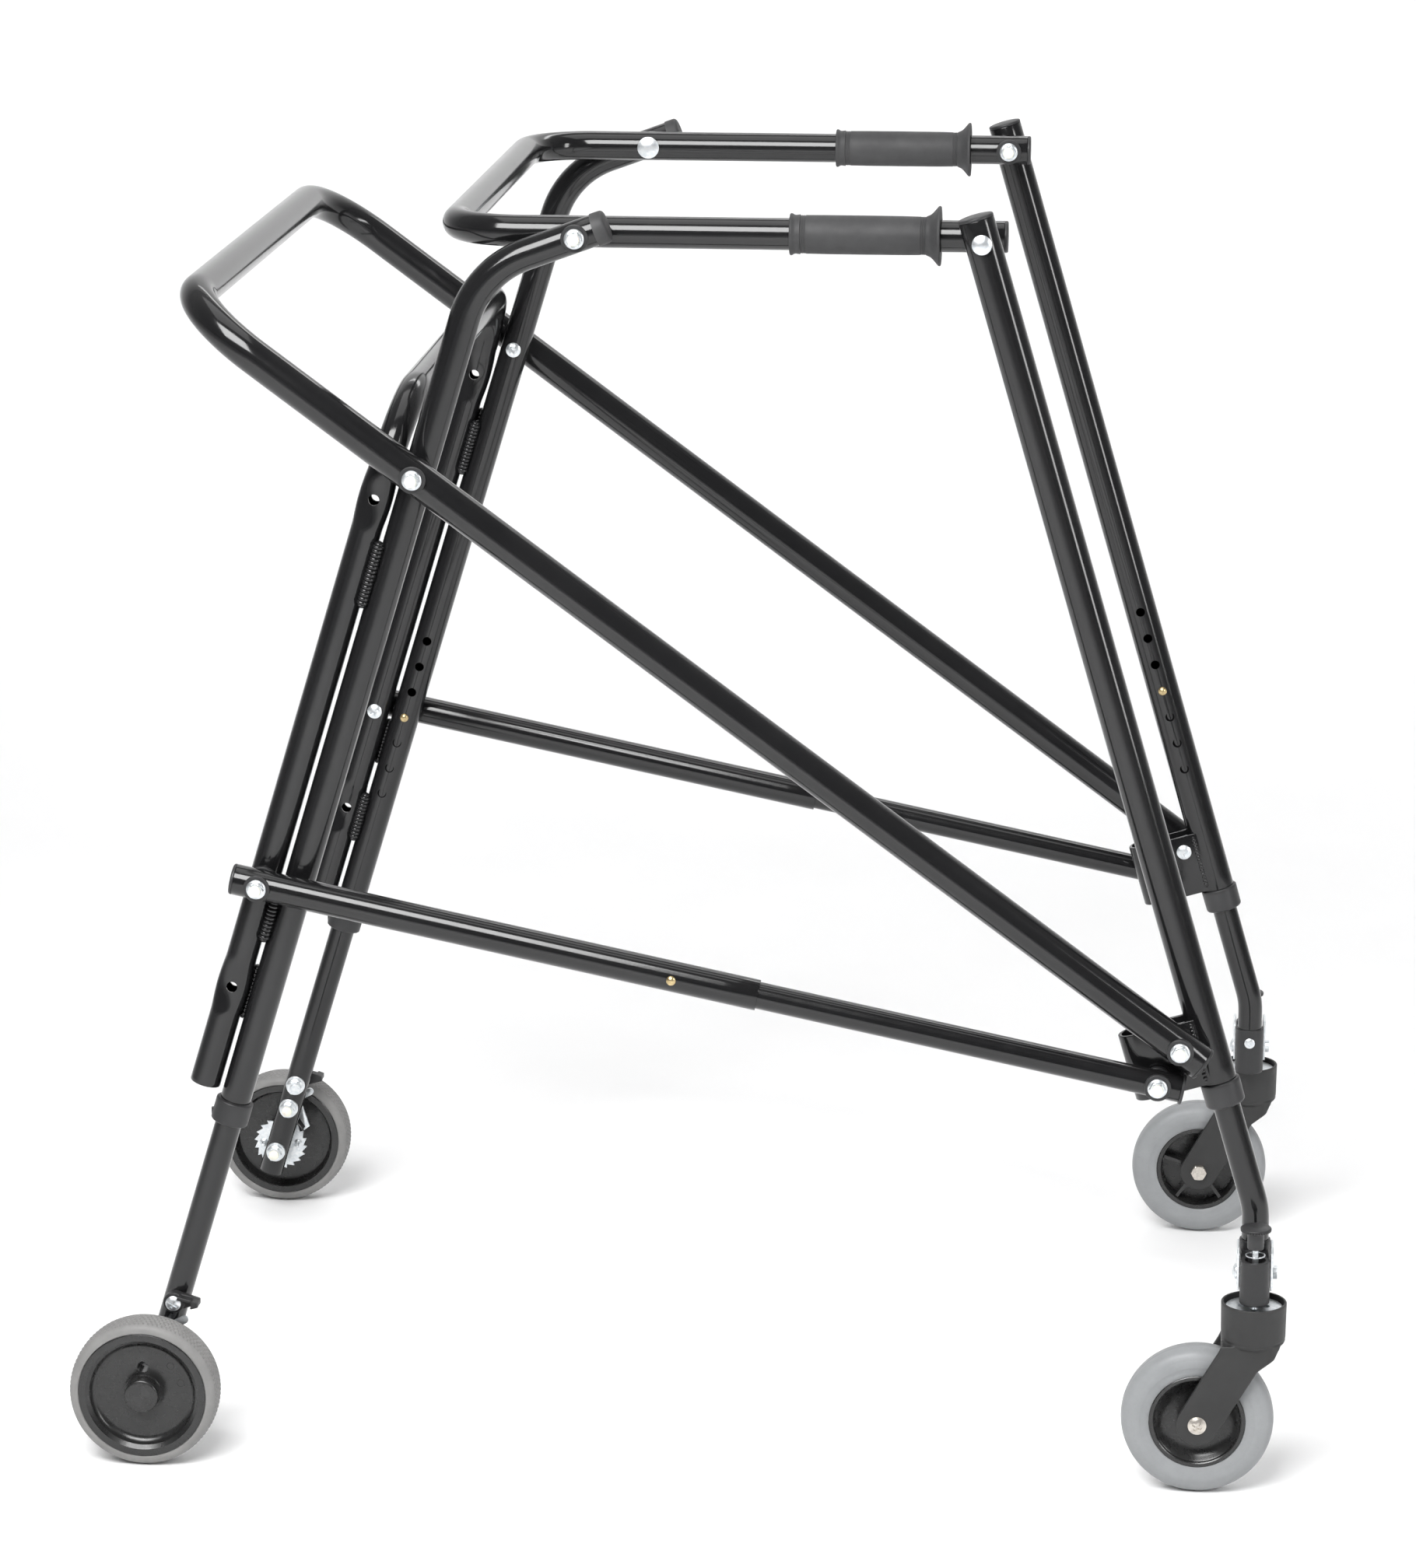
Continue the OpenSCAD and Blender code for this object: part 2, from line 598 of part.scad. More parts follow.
module rear_lower_leg(s) placed() color(black) side(s) difference() {
    pipe(on_rear_leg(-22.5, rear_leg_y), on_rear_leg(rear_button_up + 14, rear_leg_y),
             inner_r, inner_r - inner_wall);
    for (up = [0, guide_bolt_up, lever_up])
        cross_rod(on_rear_leg(up, 0), rear_leg_y - 20, rear_leg_y + 20, bolt_hole_r);
    rear_leg_axes(rear_leg_y) translate([0, 0, rear_button_up])
        rotate([90, 0, 0]) cylinder(h = 20, r = button_hole_r);
}
module rear_lower_leg_right() rear_lower_leg(-1);
module rear_lower_leg_left() rear_lower_leg(1);

// Axle, guide bolt and lever screw, with their nuts on the leg's inner face
module rear_axle_bolts(s) placed() side(s) {
    inner_face = rear_leg_y - inner_r;
    outer_face = rear_leg_y + inner_r;
    ends = [rear_wheel_y + 8, ratchet_y + ratchet_t + 0.9, ratchet_y + ratchet_t + 0.9];
    ups = [0, guide_bolt_up, lever_up];
    for (i = [0:2]) {
        p = on_rear_leg(ups[i], 0);
        color(zinc) cross_rod(p, inner_face - 7, ends[i], bolt_r);
        color(zinc) across(p, inner_face - 1.4, -1) flange_nut(bolt_r);
        color(zinc) difference() {
            cross_rod(p, inner_face - 1.35, inner_face + 3, 9.8);
            cross_rod(p, inner_face - 3, inner_face + 4, bolt_hole_r);
            rod(on_rear_leg(ups[i] - 20, rear_leg_y), on_rear_leg(ups[i] + 20, rear_leg_y), inner_r + 0.02);
        }
        if (i < 2) color(cream) across(p, inner_face - 1.4, -1) nut_cap();
    }
    // heads, and the sleeves that hold the wheel and the pawl off the leg
    color(zinc) across(on_rear_leg(0, 0), rear_wheel_y + 8, 1) cylinder(h = 4, r = 6.4, $fn = 6);
    color(zinc) across(on_rear_leg(guide_bolt_up, 0), ends[1], 1) dome(6, 1.6);
    color(zinc) across(on_rear_leg(lever_up, 0), ends[2], 1) pan_head(4.6, 2.6);
    for (i = [0, 1]) color(zinc) difference() {
        cross_rod(on_rear_leg(ups[i], 0), outer_face - 3, ratchet_y - (i == 0 ? 0.5 : slip), 7.5 - i * 1.5);
        cross_rod(on_rear_leg(ups[i], 0), outer_face - 4, ratchet_y + 2, bolt_hole_r);
        rod(on_rear_leg(ups[i] - 20, rear_leg_y), on_rear_leg(ups[i] + 20, rear_leg_y), inner_r + 0.02);
    }
}
module rear_axle_bolts_right() rear_axle_bolts(-1);
module rear_axle_bolts_left() rear_axle_bolts(1);

// A plate drawn in the plane of the leg: x forward from its centre line, y up from the axle
module leg_plate(y, thickness) rear_leg_axes(y)
    rotate([-90, 0, 0]) linear_extrude(thickness) mirror([0, 1]) children();

// Thumb lever on the leg's outer face, which turns the pawl
module reverse_lever(s) placed() color(plastic) side(s) {
    inner_face = rear_leg_y + inner_r + 0.3;
    difference() {
        union() {
            leg_plate(inner_face, ratchet_y + ratchet_t - 0.1 - inner_face)
                translate([0, lever_up])
                    circle(9);
            leg_plate(inner_face + 1, 4.5) translate([0, lever_up])
                polygon([[0, 8.6], [14, 9.2], [20, 8.8], [21.2, 4.4], [15, 0.4], [7, -5]]);
            leg_plate(inner_face + 1, 14) translate([0, lever_up])
                polygon([[14.2, 8.6], [19.6, 8.4], [20.6, 4.6], [15.2, 1.2]]);
        }
        cross_rod(on_rear_leg(lever_up, 0), inner_face - 1, ratchet_y + 9, bolt_hole_r);
    }
}
module reverse_lever_right() reverse_lever(-1);
module reverse_lever_left() reverse_lever(1);

// Pawl on the guide bolt. Its tooth is drawn as it sits between the ratchet's teeth and then
// turned back to its free position; its tail reaches forward under the lever.
function polar(r, a) = [r * cos(a), r * sin(a)];
module reverse_pawl(s) placed() color(zinc) side(s) leg_plate(ratchet_y, ratchet_t) difference() {
    union() {
        translate([0, guide_bolt_up]) rotate(pawl_throw) translate([0, -guide_bolt_up]) polygon([
            polar(pawl_tip_r, pawl_at), polar(pawl_tip_r + 2.7, pawl_at + 0.3), polar(29.5, pawl_at - 0.5),
            [6, guide_bolt_up + 2.4], [-6, guide_bolt_up - 2.1], polar(26.2, pawl_at + 5),
            polar(pawl_tip_r, pawl_at + 3)
        ]);
        translate([0, guide_bolt_up]) circle(6.5);
        translate([0, guide_bolt_up]) rotate(45) translate([0, -3.4]) square([17.8, 6.8]);
        translate([0, guide_bolt_up]) rotate(45) translate([17.8, 0]) circle(3.4);
    }
    translate([0, guide_bolt_up]) circle(bolt_hole_r);
}
module reverse_pawl_right() reverse_pawl(-1);
module reverse_pawl_left() reverse_pawl(1);

// ---------------------------------------------------------------- rear wheels

// A ring turned about the wheel's axle from a profile of [radius, distance outward]
module turned(centre, y)
    translate([centre[0], y, centre[2]])
        rotate([-90, 0, 0])
            rotate_extrude($fn = 96)
                children();

// Half section of a tyre between radii ri and ro, with its shoulders rounded by s
module tyre_section(ri, ro, w, s) {
    translate([ri, -w / 2]) square([ro - ri - s, w]);
    translate([ri, -w / 2 + s]) square([ro - ri, w - 2 * s]);
    for (e = [-1, 1]) translate([ro - s, e * (w / 2 - s)]) circle(s);
}

module rear_tyre(s) placed() color(tread_grey) side(s) turned(axle, rear_wheel_y)
    tyre_section(rear_hub_r + 0.02, wheel_r, rear_tyre_w, 4);
module rear_tyre_right() rear_tyre(-1);
module rear_tyre_left() rear_tyre(1);

module rear_hub(s) placed() color(plastic) side(s) difference() {
    union() {
        turned(axle, rear_wheel_y) {
            translate([46, -17]) square([rear_hub_r - 46, 34]);
            translate([8, -5]) square([40, 13]);
            translate([8, ratchet_y + ratchet_t + 0.02 - rear_wheel_y]) square([13, 22]);
        }
        across(axle, rear_wheel_y + 6, 1) domed_disc(14.3, 12.5, 1.6);
    }
    across(axle, rear_wheel_y - 40, 1) cylinder(h = 53, r = 8.5);
    rotate_about(axle, 90) cross_rod(axle + [22, 0, 0], rear_wheel_y - 40, rear_wheel_y + 30, 4.75);
    ratchet_screws(2.05, 7.2);
}
module rotate_about(p, a) translate(p) rotate([0, -a, 0]) translate(-p) children();

module rear_hub_right() rear_hub(-1);
module rear_hub_left() rear_hub(1);

// Saw-toothed plate screwed to the hub's boss, with the wheel's bearing sleeve
ratchet_screw_r = 16.5;
module ratchet(s) placed() color(zinc) side(s) {
    step = 360 / ratchet_teeth;
    difference() {
        union() {
            leg_plate(ratchet_y, ratchet_t) rotate(pawl_at - 1.2) polygon([
                for (i = [0:ratchet_teeth - 1], tip = [0, 1])
                    polar(tip == 1 ? ratchet_r : ratchet_r - 3.6, (i + tip * 0.9) * step)
            ]);
            cross_rod(axle, ratchet_y + ratchet_t - eps, rear_wheel_y + 7.5, 8.45);
        }
        cross_rod(axle, ratchet_y - 1, rear_wheel_y + 10, bolt_hole_r);
        ratchet_screws(2.05, 5);
    }
    ratchet_screws(2, 7);
    for (a = [0, 180]) rotate_about(axle, a)
        translate([axle[0] + ratchet_screw_r, ratchet_y - running, axle[2]])
            rotate([90, 0, 0])
                pan_head(4, 2);
}
module ratchet_screws(r, length) for (a = [0, 180]) rotate_about(axle, a)
    cross_rod(axle + [ratchet_screw_r, 0, 0], ratchet_y - running - eps, ratchet_y + length, r);
module ratchet_right() ratchet(-1);
module ratchet_left() ratchet(1);

// ---------------------------------------------------------------- sliding front legs and caster heads

module front_button(s) placed() color(brass) side(s) front_leg_axes(front_leg_y)
    translate([0, 0, front_button_down]) rotate([90, 0, 0]) rotate([0, 0, 90]) snap_button(heavy_r);
module front_button_right() front_button(-1);
module front_button_left() front_button(1);

module front_lower_leg(s) placed() color(black) side(s) difference() {
    setback = foot_bend_r * tan(front_rake / 2);
    corner_z = on_front_leg(foot_corner_down, 0)[2];
    bore_r = inner_r - inner_wall;
    union() {
        front_leg_axes(front_leg_y) translate([0, 0, front_button_down - 14]) {
            run(foot_corner_down - setback - front_button_down + 14, inner_r, bore_r)
                bend(front_rake, foot_bend_r, inner_r, bore_r)
                    run(corner_z - setback - foot_z, inner_r, bore_r);
            // flared top that fits the upper tube
            linear_extrude(8) ring(heavy_r - heavy_wall - slip, inner_r - 0.5);
        }
    }
    front_leg_axes(front_leg_y) translate([0, 0, front_button_down])
        rotate([90, 0, 0]) cylinder(h = 20, r = button_hole_r);
}
module front_lower_leg_right() front_lower_leg(-1);
module front_lower_leg_left() front_lower_leg(1);

// Vertical cylinder at the caster, between two heights
module post(y, z0, z1, r) translate([swivel_x, y, z0]) cylinder(h = z1 - z0, r = r);

clamp_y = front_leg_y + 17.2; // clamp bolt, between the leg and the king pin
strap_x = 13.5; // middle of each strap, fore and aft
module caster_head(s) placed() color(plastic) side(s) difference() {
    union() {
        post(front_leg_y, head_z, socket_top_z, 12.8);
        post(lock_y, head_z, head_top_z, 12.2);
        translate([swivel_x - 11.4, front_leg_y, head_z]) cube([22.8, lock_y - front_leg_y, 34]);
    }
    post(front_leg_y, foot_z - running, socket_top_z + 1, inner_r + running);
    post(swivel_y, head_z - 1, 191, bolt_hole_r);
    post(lock_y, head_z - 1, head_top_z + 1, 2.65);
    post(lock_y, head_top_z - 16, head_top_z + 1, 8.6);
    translate([swivel_x - 20, clamp_y, 185]) rotate([0, 90, 0]) cylinder(h = 40, r = 3.05);
}
module caster_head_right() caster_head(-1);
module caster_head_left() caster_head(1);

// Zinc strap round the head, its clamp bolt and nut, and the rivet through the leg's socket
module head_clamp(s) placed() color(zinc) side(s) {
    for (e = [-1, 1]) difference() {
        translate([swivel_x + e * strap_x - 1.1, clamp_y - 9, 174]) cube([2.2, 30, 36]);
        translate([swivel_x - 20, clamp_y, 185]) rotate([0, 90, 0]) cylinder(h = 40, r = 3.05);
    }
    end = strap_x + 1.2;
    translate([swivel_x - end, clamp_y, 185]) rotate([0, 90, 0]) cylinder(h = 2 * end + 2.8, r = 3);
    translate([swivel_x - end, clamp_y, 185]) rotate([0, -90, 0]) dome(6, 3);
    translate([swivel_x + end, clamp_y, 185]) rotate([0, 90, 0]) difference() {
        cylinder(h = 3.6, r = 5.6, $fn = 6);
        translate([0, 0, -1]) cylinder(h = 6, r = 3.05);
    }
    translate([swivel_x, front_leg_y - 12.85, 196]) rotate([90, 0, 0]) difference() {
        dome(4.8, 1.6);
        translate([0, 0, 0.8]) cylinder(h = 2, r = 1.4);
    }
}
module head_clamp_right() head_clamp(-1);
module head_clamp_left() head_clamp(1);

// Knurled swivel-lock knob, its sleeve and its pin
module swivel_lock(s) placed() side(s) {
    color(plastic) translate([swivel_x, lock_y, 224.6]) {
        linear_extrude(6)
            polygon([for (i = [0:71])
                let (r = i % 2 == 0 ? 12.6 : 12.0) [r * cos(i * 5), r * sin(i * 5)]]);
        translate([0, 0, 6]) dome(11.6, 1.2);
    }
    color(plastic) post(lock_y, 212.7, 224.6 + eps, 6.8);
    color(zinc) post(lock_y, plate_top_z + 0.7, 212.7, 2.6);
    color(zinc) post(lock_y, head_top_z - 8, head_top_z - 6, 5);
}
module swivel_lock_right() swivel_lock(-1);
module swivel_lock_left() swivel_lock(1);

// ---------------------------------------------------------------- casters

// Side outline of the fork: a bar of constant width from the axle up to the crown, with a chin
module fork_outline() {
    translate([front_axle[0], front_axle[2]]) circle(17.3);
    polygon([
        [swivel_x - 58.8, 71.4], [swivel_x - 27.9, 126], [swivel_x - 25.5, 131], [swivel_x + 21.5, 131],
        [swivel_x + 17.5, 121], [swivel_x + 4, 110.3], [swivel_x - 29.2, 53.6]
    ]);
}

module caster_fork(s) placed() color(plastic) side(s) difference() {
    union() {
        post(swivel_y, fork_slot_z, cup_top_z, cup_r);
        intersection() {
            translate([0, swivel_y + cup_r, 0]) rotate([90, 0, 0]) linear_extrude(2 * cup_r) fork_outline();
            union() {
                post(swivel_y, 105, cup_top_z, cup_r);
                translate([swivel_x - 100, swivel_y - fork_half_w, 0]) cube([160, 2 * fork_half_w, 140]);
            }
        }
    }
    post(swivel_y, fork_floor_z, cup_top_z + 1, 24.3);
    post(swivel_y, fork_slot_z - 30, fork_floor_z + 1, bolt_hole_r);
    translate([swivel_x - 120, swivel_y - fork_slot, 0]) cube([200, 2 * fork_slot, fork_slot_z]);
    cross_rod(front_axle, swivel_y - 40, swivel_y + 40, bolt_hole_r);
}
module caster_fork_right() caster_fork(-1);
module caster_fork_left() caster_fork(1);

// Detent disc in the fork's cup, in one piece with the king pin
module swivel_plate(s) placed() color(zinc) side(s) difference() {
    union() {
        post(swivel_y, fork_floor_z + running, plate_top_z, 23.6);
        post(swivel_y, fork_slot_z + 0.2, 190.5, bolt_r);
    }
    for (a = [0:90:270]) translate([swivel_x, swivel_y, 0]) rotate(a)
        translate([0, lock_y - swivel_y, fork_floor_z + 2]) cylinder(h = 20, r = 3);
}
module swivel_plate_right() swivel_plate(-1);
module swivel_plate_left() swivel_plate(1);

module caster_axle(s) placed() color(zinc) side(s) {
    cross_rod(front_axle, swivel_y - fork_half_w, swivel_y + fork_half_w, bolt_r);
    across(front_axle, swivel_y + fork_half_w, 1) pan_head(7, 2.6);
    across(front_axle, swivel_y - fork_half_w, -1) cylinder(h = 4.6, r = 7.4, $fn = 6);
}
module caster_axle_right() caster_axle(-1);
module caster_axle_left() caster_axle(1);

module front_tyre(s) placed() color(tyre_grey) side(s) turned(front_axle, swivel_y)
    tyre_section(front_hub_r + 0.02, wheel_r, front_tyre_w, 10);
module front_tyre_right() front_tyre(-1);
module front_tyre_left() front_tyre(1);

// Hub with a smooth dished outer face and five ribs on its inner face
module front_hub(s) placed() color(plastic) side(s) {
    turned(front_axle, swivel_y) {
        translate([34.5, -13.5]) square([front_hub_r - 34.5, 27]);
        translate([bolt_hole_r, 2]) square([32, 4]);
        translate([bolt_hole_r, -16.4]) square([6.5, 32.8]);
    }
    for (i = [0:4]) rotate_about(front_axle, 18 + 72 * i)
        translate(front_axle + [10, swivel_y - 10, -1.25]) cube([25.5, 13, 2.5]);
}
module front_hub_right() front_hub(-1);
module front_hub_left() front_hub(1);

// ---------------------------------------------------------------- one line for each node

rear_frame();
rear_leg_collars();
rear_leg_caps();
rear_pivot_bolts();
rear_pivot_washers();
handlebar();
hand_grips();
handlebar_caps();
front_leg_right();
front_leg_left();
front_leg_caps();
front_leg_collars();
front_pivot_bolts();
front_pivot_washers();
brace_frame();
brace_end_fittings();
brace_nuts();
lower_bars_outer();
lower_bar_rear_caps();
lower_bars_inner();
lower_bar_end_fittings();
lower_bar_nuts();
bar_button_right();
bar_button_left();
rear_button_right();
rear_button_left();
front_button_right();
front_button_left();
rear_lower_leg_right();
rear_lower_leg_left();
rear_axle_bolts_right();
rear_axle_bolts_left();
reverse_lever_right();
reverse_lever_left();
reverse_pawl_right();
reverse_pawl_left();
rear_tyre_right();
rear_tyre_left();
rear_hub_right();
rear_hub_left();
ratchet_right();
ratchet_left();
front_lower_leg_right();
front_lower_leg_left();
caster_head_right();
caster_head_left();
head_clamp_right();
head_clamp_left();
swivel_lock_right();
swivel_lock_left();
caster_fork_right();
caster_fork_left();
swivel_plate_right();
swivel_plate_left();
caster_axle_right();
caster_axle_left();
front_tyre_right();
front_tyre_left();
front_hub_right();
front_hub_left();
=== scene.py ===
"""Looks of the folding posterior walking frame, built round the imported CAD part.

Lengths are millimetres in the helpers and metres in the meshes. x runs forward from the rear axle
here and is moved to the row's origin, in the middle of the frame, when a mesh is made. Each piece
is drawn on the left (+Y) and mirrored for the right.
"""
import math

import bmesh
import bpy
import numpy as np
from mathutils import Matrix, Vector


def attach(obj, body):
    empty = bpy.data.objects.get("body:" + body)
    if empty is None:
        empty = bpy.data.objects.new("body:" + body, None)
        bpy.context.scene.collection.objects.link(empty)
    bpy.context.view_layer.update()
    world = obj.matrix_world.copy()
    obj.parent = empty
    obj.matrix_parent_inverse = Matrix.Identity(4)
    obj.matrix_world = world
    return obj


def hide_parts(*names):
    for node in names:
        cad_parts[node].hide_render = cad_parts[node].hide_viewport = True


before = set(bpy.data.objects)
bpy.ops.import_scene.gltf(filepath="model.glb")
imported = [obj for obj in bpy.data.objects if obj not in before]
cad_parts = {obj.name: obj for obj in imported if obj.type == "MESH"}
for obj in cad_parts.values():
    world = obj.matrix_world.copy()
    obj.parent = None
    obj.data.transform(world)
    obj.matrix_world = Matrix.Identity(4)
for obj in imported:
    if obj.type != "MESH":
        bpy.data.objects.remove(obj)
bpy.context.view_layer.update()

# ---------------------------------------------------------------- sizes, as in the CAD part

RAKE, FRONT_RAKE = math.radians(16.9), math.radians(16.43)
MAIN, HEAVY, INNER = 12.7, 14.3, 11.1          # tube radii
WHEEL = 62.5
RAIL_Y, REAR_Y, FRONT_Y = 268.0, 297.2, 298.8
BRACE_Y, BAR_Y = 328.8, 327.2
REAR_WHEEL_Y, SWIVEL_Y = 344.0, 328.8
HANDLE_Z, P2_X, P1_X = 1025.0, 361.8, 683.2
SWIVEL_X = P1_X + 233.3
MID_X = (SWIVEL_X + 26.7 - WHEEL) / 2
LOCK_Y = SWIVEL_Y + 10
RATCHET_Y, RATCHET_T = 315.6, 2.0
HOOP_BACK = 28.1                                # hoop's tube behind the rear leg's
BOLT_R, BORE_R, BUTTON_HOLE_R = 4.0, 4.05, 4.1
HOLE_PITCH = 25.4
LUG_ROWS, LUGS = 6, 96                          # tread lugs across and round a rear tyre
REAR_BUTTON_UP, FRONT_BUTTON_DOWN, BAR_BUTTON = 446.8, 515.8, 344.9
GUIDE_UP, LEVER_UP = 45.6, 69.5                 # guide bolt and lever screw above the rear axle

X, Y, Z = np.array([1.0, 0, 0]), np.array([0, 1.0, 0]), np.array([0, 0, 1.0])
AXLE = np.array([0, 0, WHEEL])
REAR_UP = np.array([math.sin(RAKE), 0, math.cos(RAKE)])
REAR_BACK = np.array([-math.cos(RAKE), 0, math.sin(RAKE)])
FRONT_TOP = np.array([P1_X, 0, HANDLE_Z])
REAR_TOP = np.array([P2_X, 0, HANDLE_Z])
FRONT_DOWN = np.array([math.sin(FRONT_RAKE), 0, -math.cos(FRONT_RAKE)])
FRONT_BACK = np.array([-math.cos(FRONT_RAKE), 0, -math.sin(FRONT_RAKE)])
TOP_DIR = np.array([math.cos(math.radians(20)), 0, math.sin(math.radians(20))])


def unit(v):
    v = np.asarray(v, float)
    return v / np.linalg.norm(v)


def rear(up, y=0.0, back=0.0):
    return AXLE + REAR_UP * up + REAR_BACK * back + Y * y


def front(down, y=0.0, back=0.0):
    return FRONT_TOP + FRONT_DOWN * down + FRONT_BACK * back + Y * y


BRACE_REAR, BRACE_FRONT = rear(808.3), front(668, 0, 21)
BAR_REAR, BAR_FRONT = rear(444.1, 0, HOOP_BACK), front(693.4, 0, 46.8)
BRACE_DIR, BAR_DIR = unit(BRACE_FRONT - BRACE_REAR), unit(BAR_FRONT - BAR_REAR)
BAR_SPAN = float(np.linalg.norm(BAR_FRONT - BAR_REAR))
FRONT_AXLE = np.array([SWIVEL_X - 44, 0, WHEEL])


def at(p, y):
    return np.array([p[0], y, p[2]])


def bar(along):
    return BAR_REAR + BAR_DIR * along + Y * BAR_Y


# ---------------------------------------------------------------- meshes

def basis(axis, hint=None):
    w = unit(axis)
    hint = np.array(hint if hint is not None else (Y if abs(w[1]) < 0.9 else X), float)
    u = unit(hint - w * (hint @ w))
    return u, np.cross(w, u), w


class Part:
    """Vertices, faces and material numbers of one piece."""

    def __init__(self):
        self.v, self.f, self.m = [], [], []

    def add(self, verts, faces, mat=0):
        off = len(self.v)
        self.v.extend(map(tuple, verts))
        self.f.extend(tuple(i + off for i in f) for f in faces)
        self.m.extend([mat] * len(faces))
        return self

    def rings(self, rings, mat=0, loop=False, caps=True):
        """Joins rings of equal length into a skin; the two ends are capped unless it loops."""
        rings = np.asarray(rings, float)
        count, n = rings.shape[:2]
        faces = []
        for i in range(count if loop else count - 1):
            a, b = i * n, (i + 1) % count * n
            faces += [(a + j, a + (j + 1) % n, b + (j + 1) % n, b + j) for j in range(n)]
        if caps and not loop:
            faces += [tuple(range(n - 1, -1, -1)), tuple((count - 1) * n + j for j in range(n))]
        return self.add(rings.reshape(-1, 3), faces, mat)

    def lathe(self, origin, axis, profile, n=64, mat=0, loop=False, mod=None, hint=None):
        """Turns a profile of (height, radius) about an axis; mod(height, radius, angles) gives radii."""
        u, v, w = basis(axis, hint)
        a = np.arange(n) * 2 * math.pi / n
        ring = np.outer(np.cos(a), u) + np.outer(np.sin(a), v)
        out = []
        for h, r in profile:
            radii = np.full(n, max(r, 0.01)) if mod is None else np.maximum(mod(h, r, a), 0.01)
            out.append(np.asarray(origin) + w * h + ring * radii[:, None])
        return self.rings(out, mat, loop)

    def sweep(self, points, tangents, side, radius, n=64, mat=0, inner=None, lip=0.5):
        """A tube or rod along a flat path; side is the unit vector square to its plane."""
        a = np.arange(n) * 2 * math.pi / n
        normals = [unit(np.cross(side, t)) for t in tangents]

        def ring(i, r, along=0.0):
            return (points[i] + tangents[i] * along
                    + (np.outer(np.cos(a), normals[i]) + np.outer(np.sin(a), side)) * r)

        radii = radius if hasattr(radius, "__len__") else [radius] * len(points)
        last = len(points) - 1
        if inner is None:
            return self.rings([ring(i, radii[i]) for i in range(last + 1)], mat)
        out = [ring(0, inner + 0.2), ring(0, radii[0] - lip), ring(0, radii[0] - lip * 0.3, lip * 0.3)]
        out += [ring(i, radii[i], lip if i == 0 else -lip if i == last else 0) for i in range(last + 1)]
        out += [ring(last, radii[last] - lip * 0.3, -lip * 0.3), ring(last, radii[last] - lip),
                ring(last, inner + 0.2)]
        out += [ring(i, inner, 0.2 if i == 0 else -0.2 if i == last else 0) for i in range(last, -1, -1)]
        return self.rings(out, mat, loop=True)

    def prism(self, outline, origin, u, v, thickness, mat=0):
        """A flat outline in the plane of u and v, thickened along u x v."""
        w = np.cross(u, v)
        rings = [[np.asarray(origin) + np.asarray(u) * p[0] + np.asarray(v) * p[1] + w * t
                  for p in outline] for t in (0, thickness)]
        return self.rings(rings, mat)

    def box(self, low, high, mat=0):
        (x0, y0, z0), (x1, y1, z1) = low, high
        return self.prism([(x0, y0), (x1, y0), (x1, y1), (x0, y1)], (0, 0, z0), X, Y, z1 - z0, mat)


def path(points, bend_r, step=30.0, turn_step=3.0):
    """Points and tangents along straight runs joined by round bends."""
    points = [np.asarray(p, float) for p in points]
    out_p, out_t = [], []

    def straight(a, b):
        d = unit(b - a)
        n = max(1, int(round(np.linalg.norm(b - a) / step)))
        for i in range(n):
            out_p.append(a + (b - a) * i / n)
            out_t.append(d)

    start = points[0]
    for i in range(1, len(points) - 1):
        d1, d2 = unit(points[i] - points[i - 1]), unit(points[i + 1] - points[i])
        phi = math.acos(float(d1 @ d2))
        back = bend_r * math.tan(phi / 2)
        straight(start, points[i] - d1 * back)
        normal = unit(d2 - d1 * (d1 @ d2))
        centre = points[i] - d1 * back + normal * bend_r
        n = max(2, int(math.degrees(phi) / turn_step))
        for k in range(n):
            a = phi * k / n
            out_p.append(centre - normal * bend_r * math.cos(a) + d1 * bend_r * math.sin(a))
            out_t.append(d1 * math.cos(a) + normal * math.sin(a))
        start = points[i] + d2 * back
    straight(start, points[-1])
    out_p.append(points[-1])
    out_t.append(unit(points[-1] - start))
    return out_p, out_t


def arc(h, r, radius, a0, a1, n=6):
    """Profile points on an arc about (h, r); angle 0 points along +radius, 90 along +height."""
    return [(h + radius * math.sin(math.radians(a0 + (a1 - a0) * i / n)),
             r + radius * math.cos(math.radians(a0 + (a1 - a0) * i / n))) for i in range(n + 1)]


def disc(r, h0, h1, e=0.6):
    """Profile of a plain round disc with softened edges."""
    return [(h0, 0)] + arc(h0 + e, r - e, e, -90, 0) + arc(h1 - e, r - e, e, 0, 90) + [(h1, 0)]


def washer(r, hole, h0, h1, e=0.4):
    return ([(h0, hole)] + arc(h0 + e, r - e, e, -90, 0, 4) + arc(h1 - e, r - e, e, 0, 90, 4)
            + [(h1, hole)])


def dome(r, h0, h, n=9):
    ball = (r * r + h * h) / (2 * h)
    top = math.degrees(math.asin(min(1, r / ball)))
    return [(h0 + h - ball + ball * math.cos(math.radians(top * (1 - i / n))),
             ball * math.sin(math.radians(top * (1 - i / n)))) for i in range(n + 1)]


def link(name, part, mats, smooth=38.0, s=1):
    """Makes the mesh object of a part, on the left (s = 1) or mirrored on the right (s = -1)."""
    mesh = bpy.data.meshes.new(name)
    v = np.array(part.v, float)
    v[:, 0] -= MID_X
    v[:, 1] *= s
    mesh.from_pydata((v / 1000).tolist(), [], part.f)
    for m in mats:
        mesh.materials.append(m)
    mesh.polygons.foreach_set("material_index", part.m)
    bm = bmesh.new()
    bm.from_mesh(mesh)
    bmesh.ops.recalc_face_normals(bm, faces=bm.faces)
    bm.to_mesh(mesh)
    bm.free()
    obj = bpy.data.objects.new(name, mesh)
    bpy.context.scene.collection.objects.link(obj)
    shade(obj, smooth)
    return obj


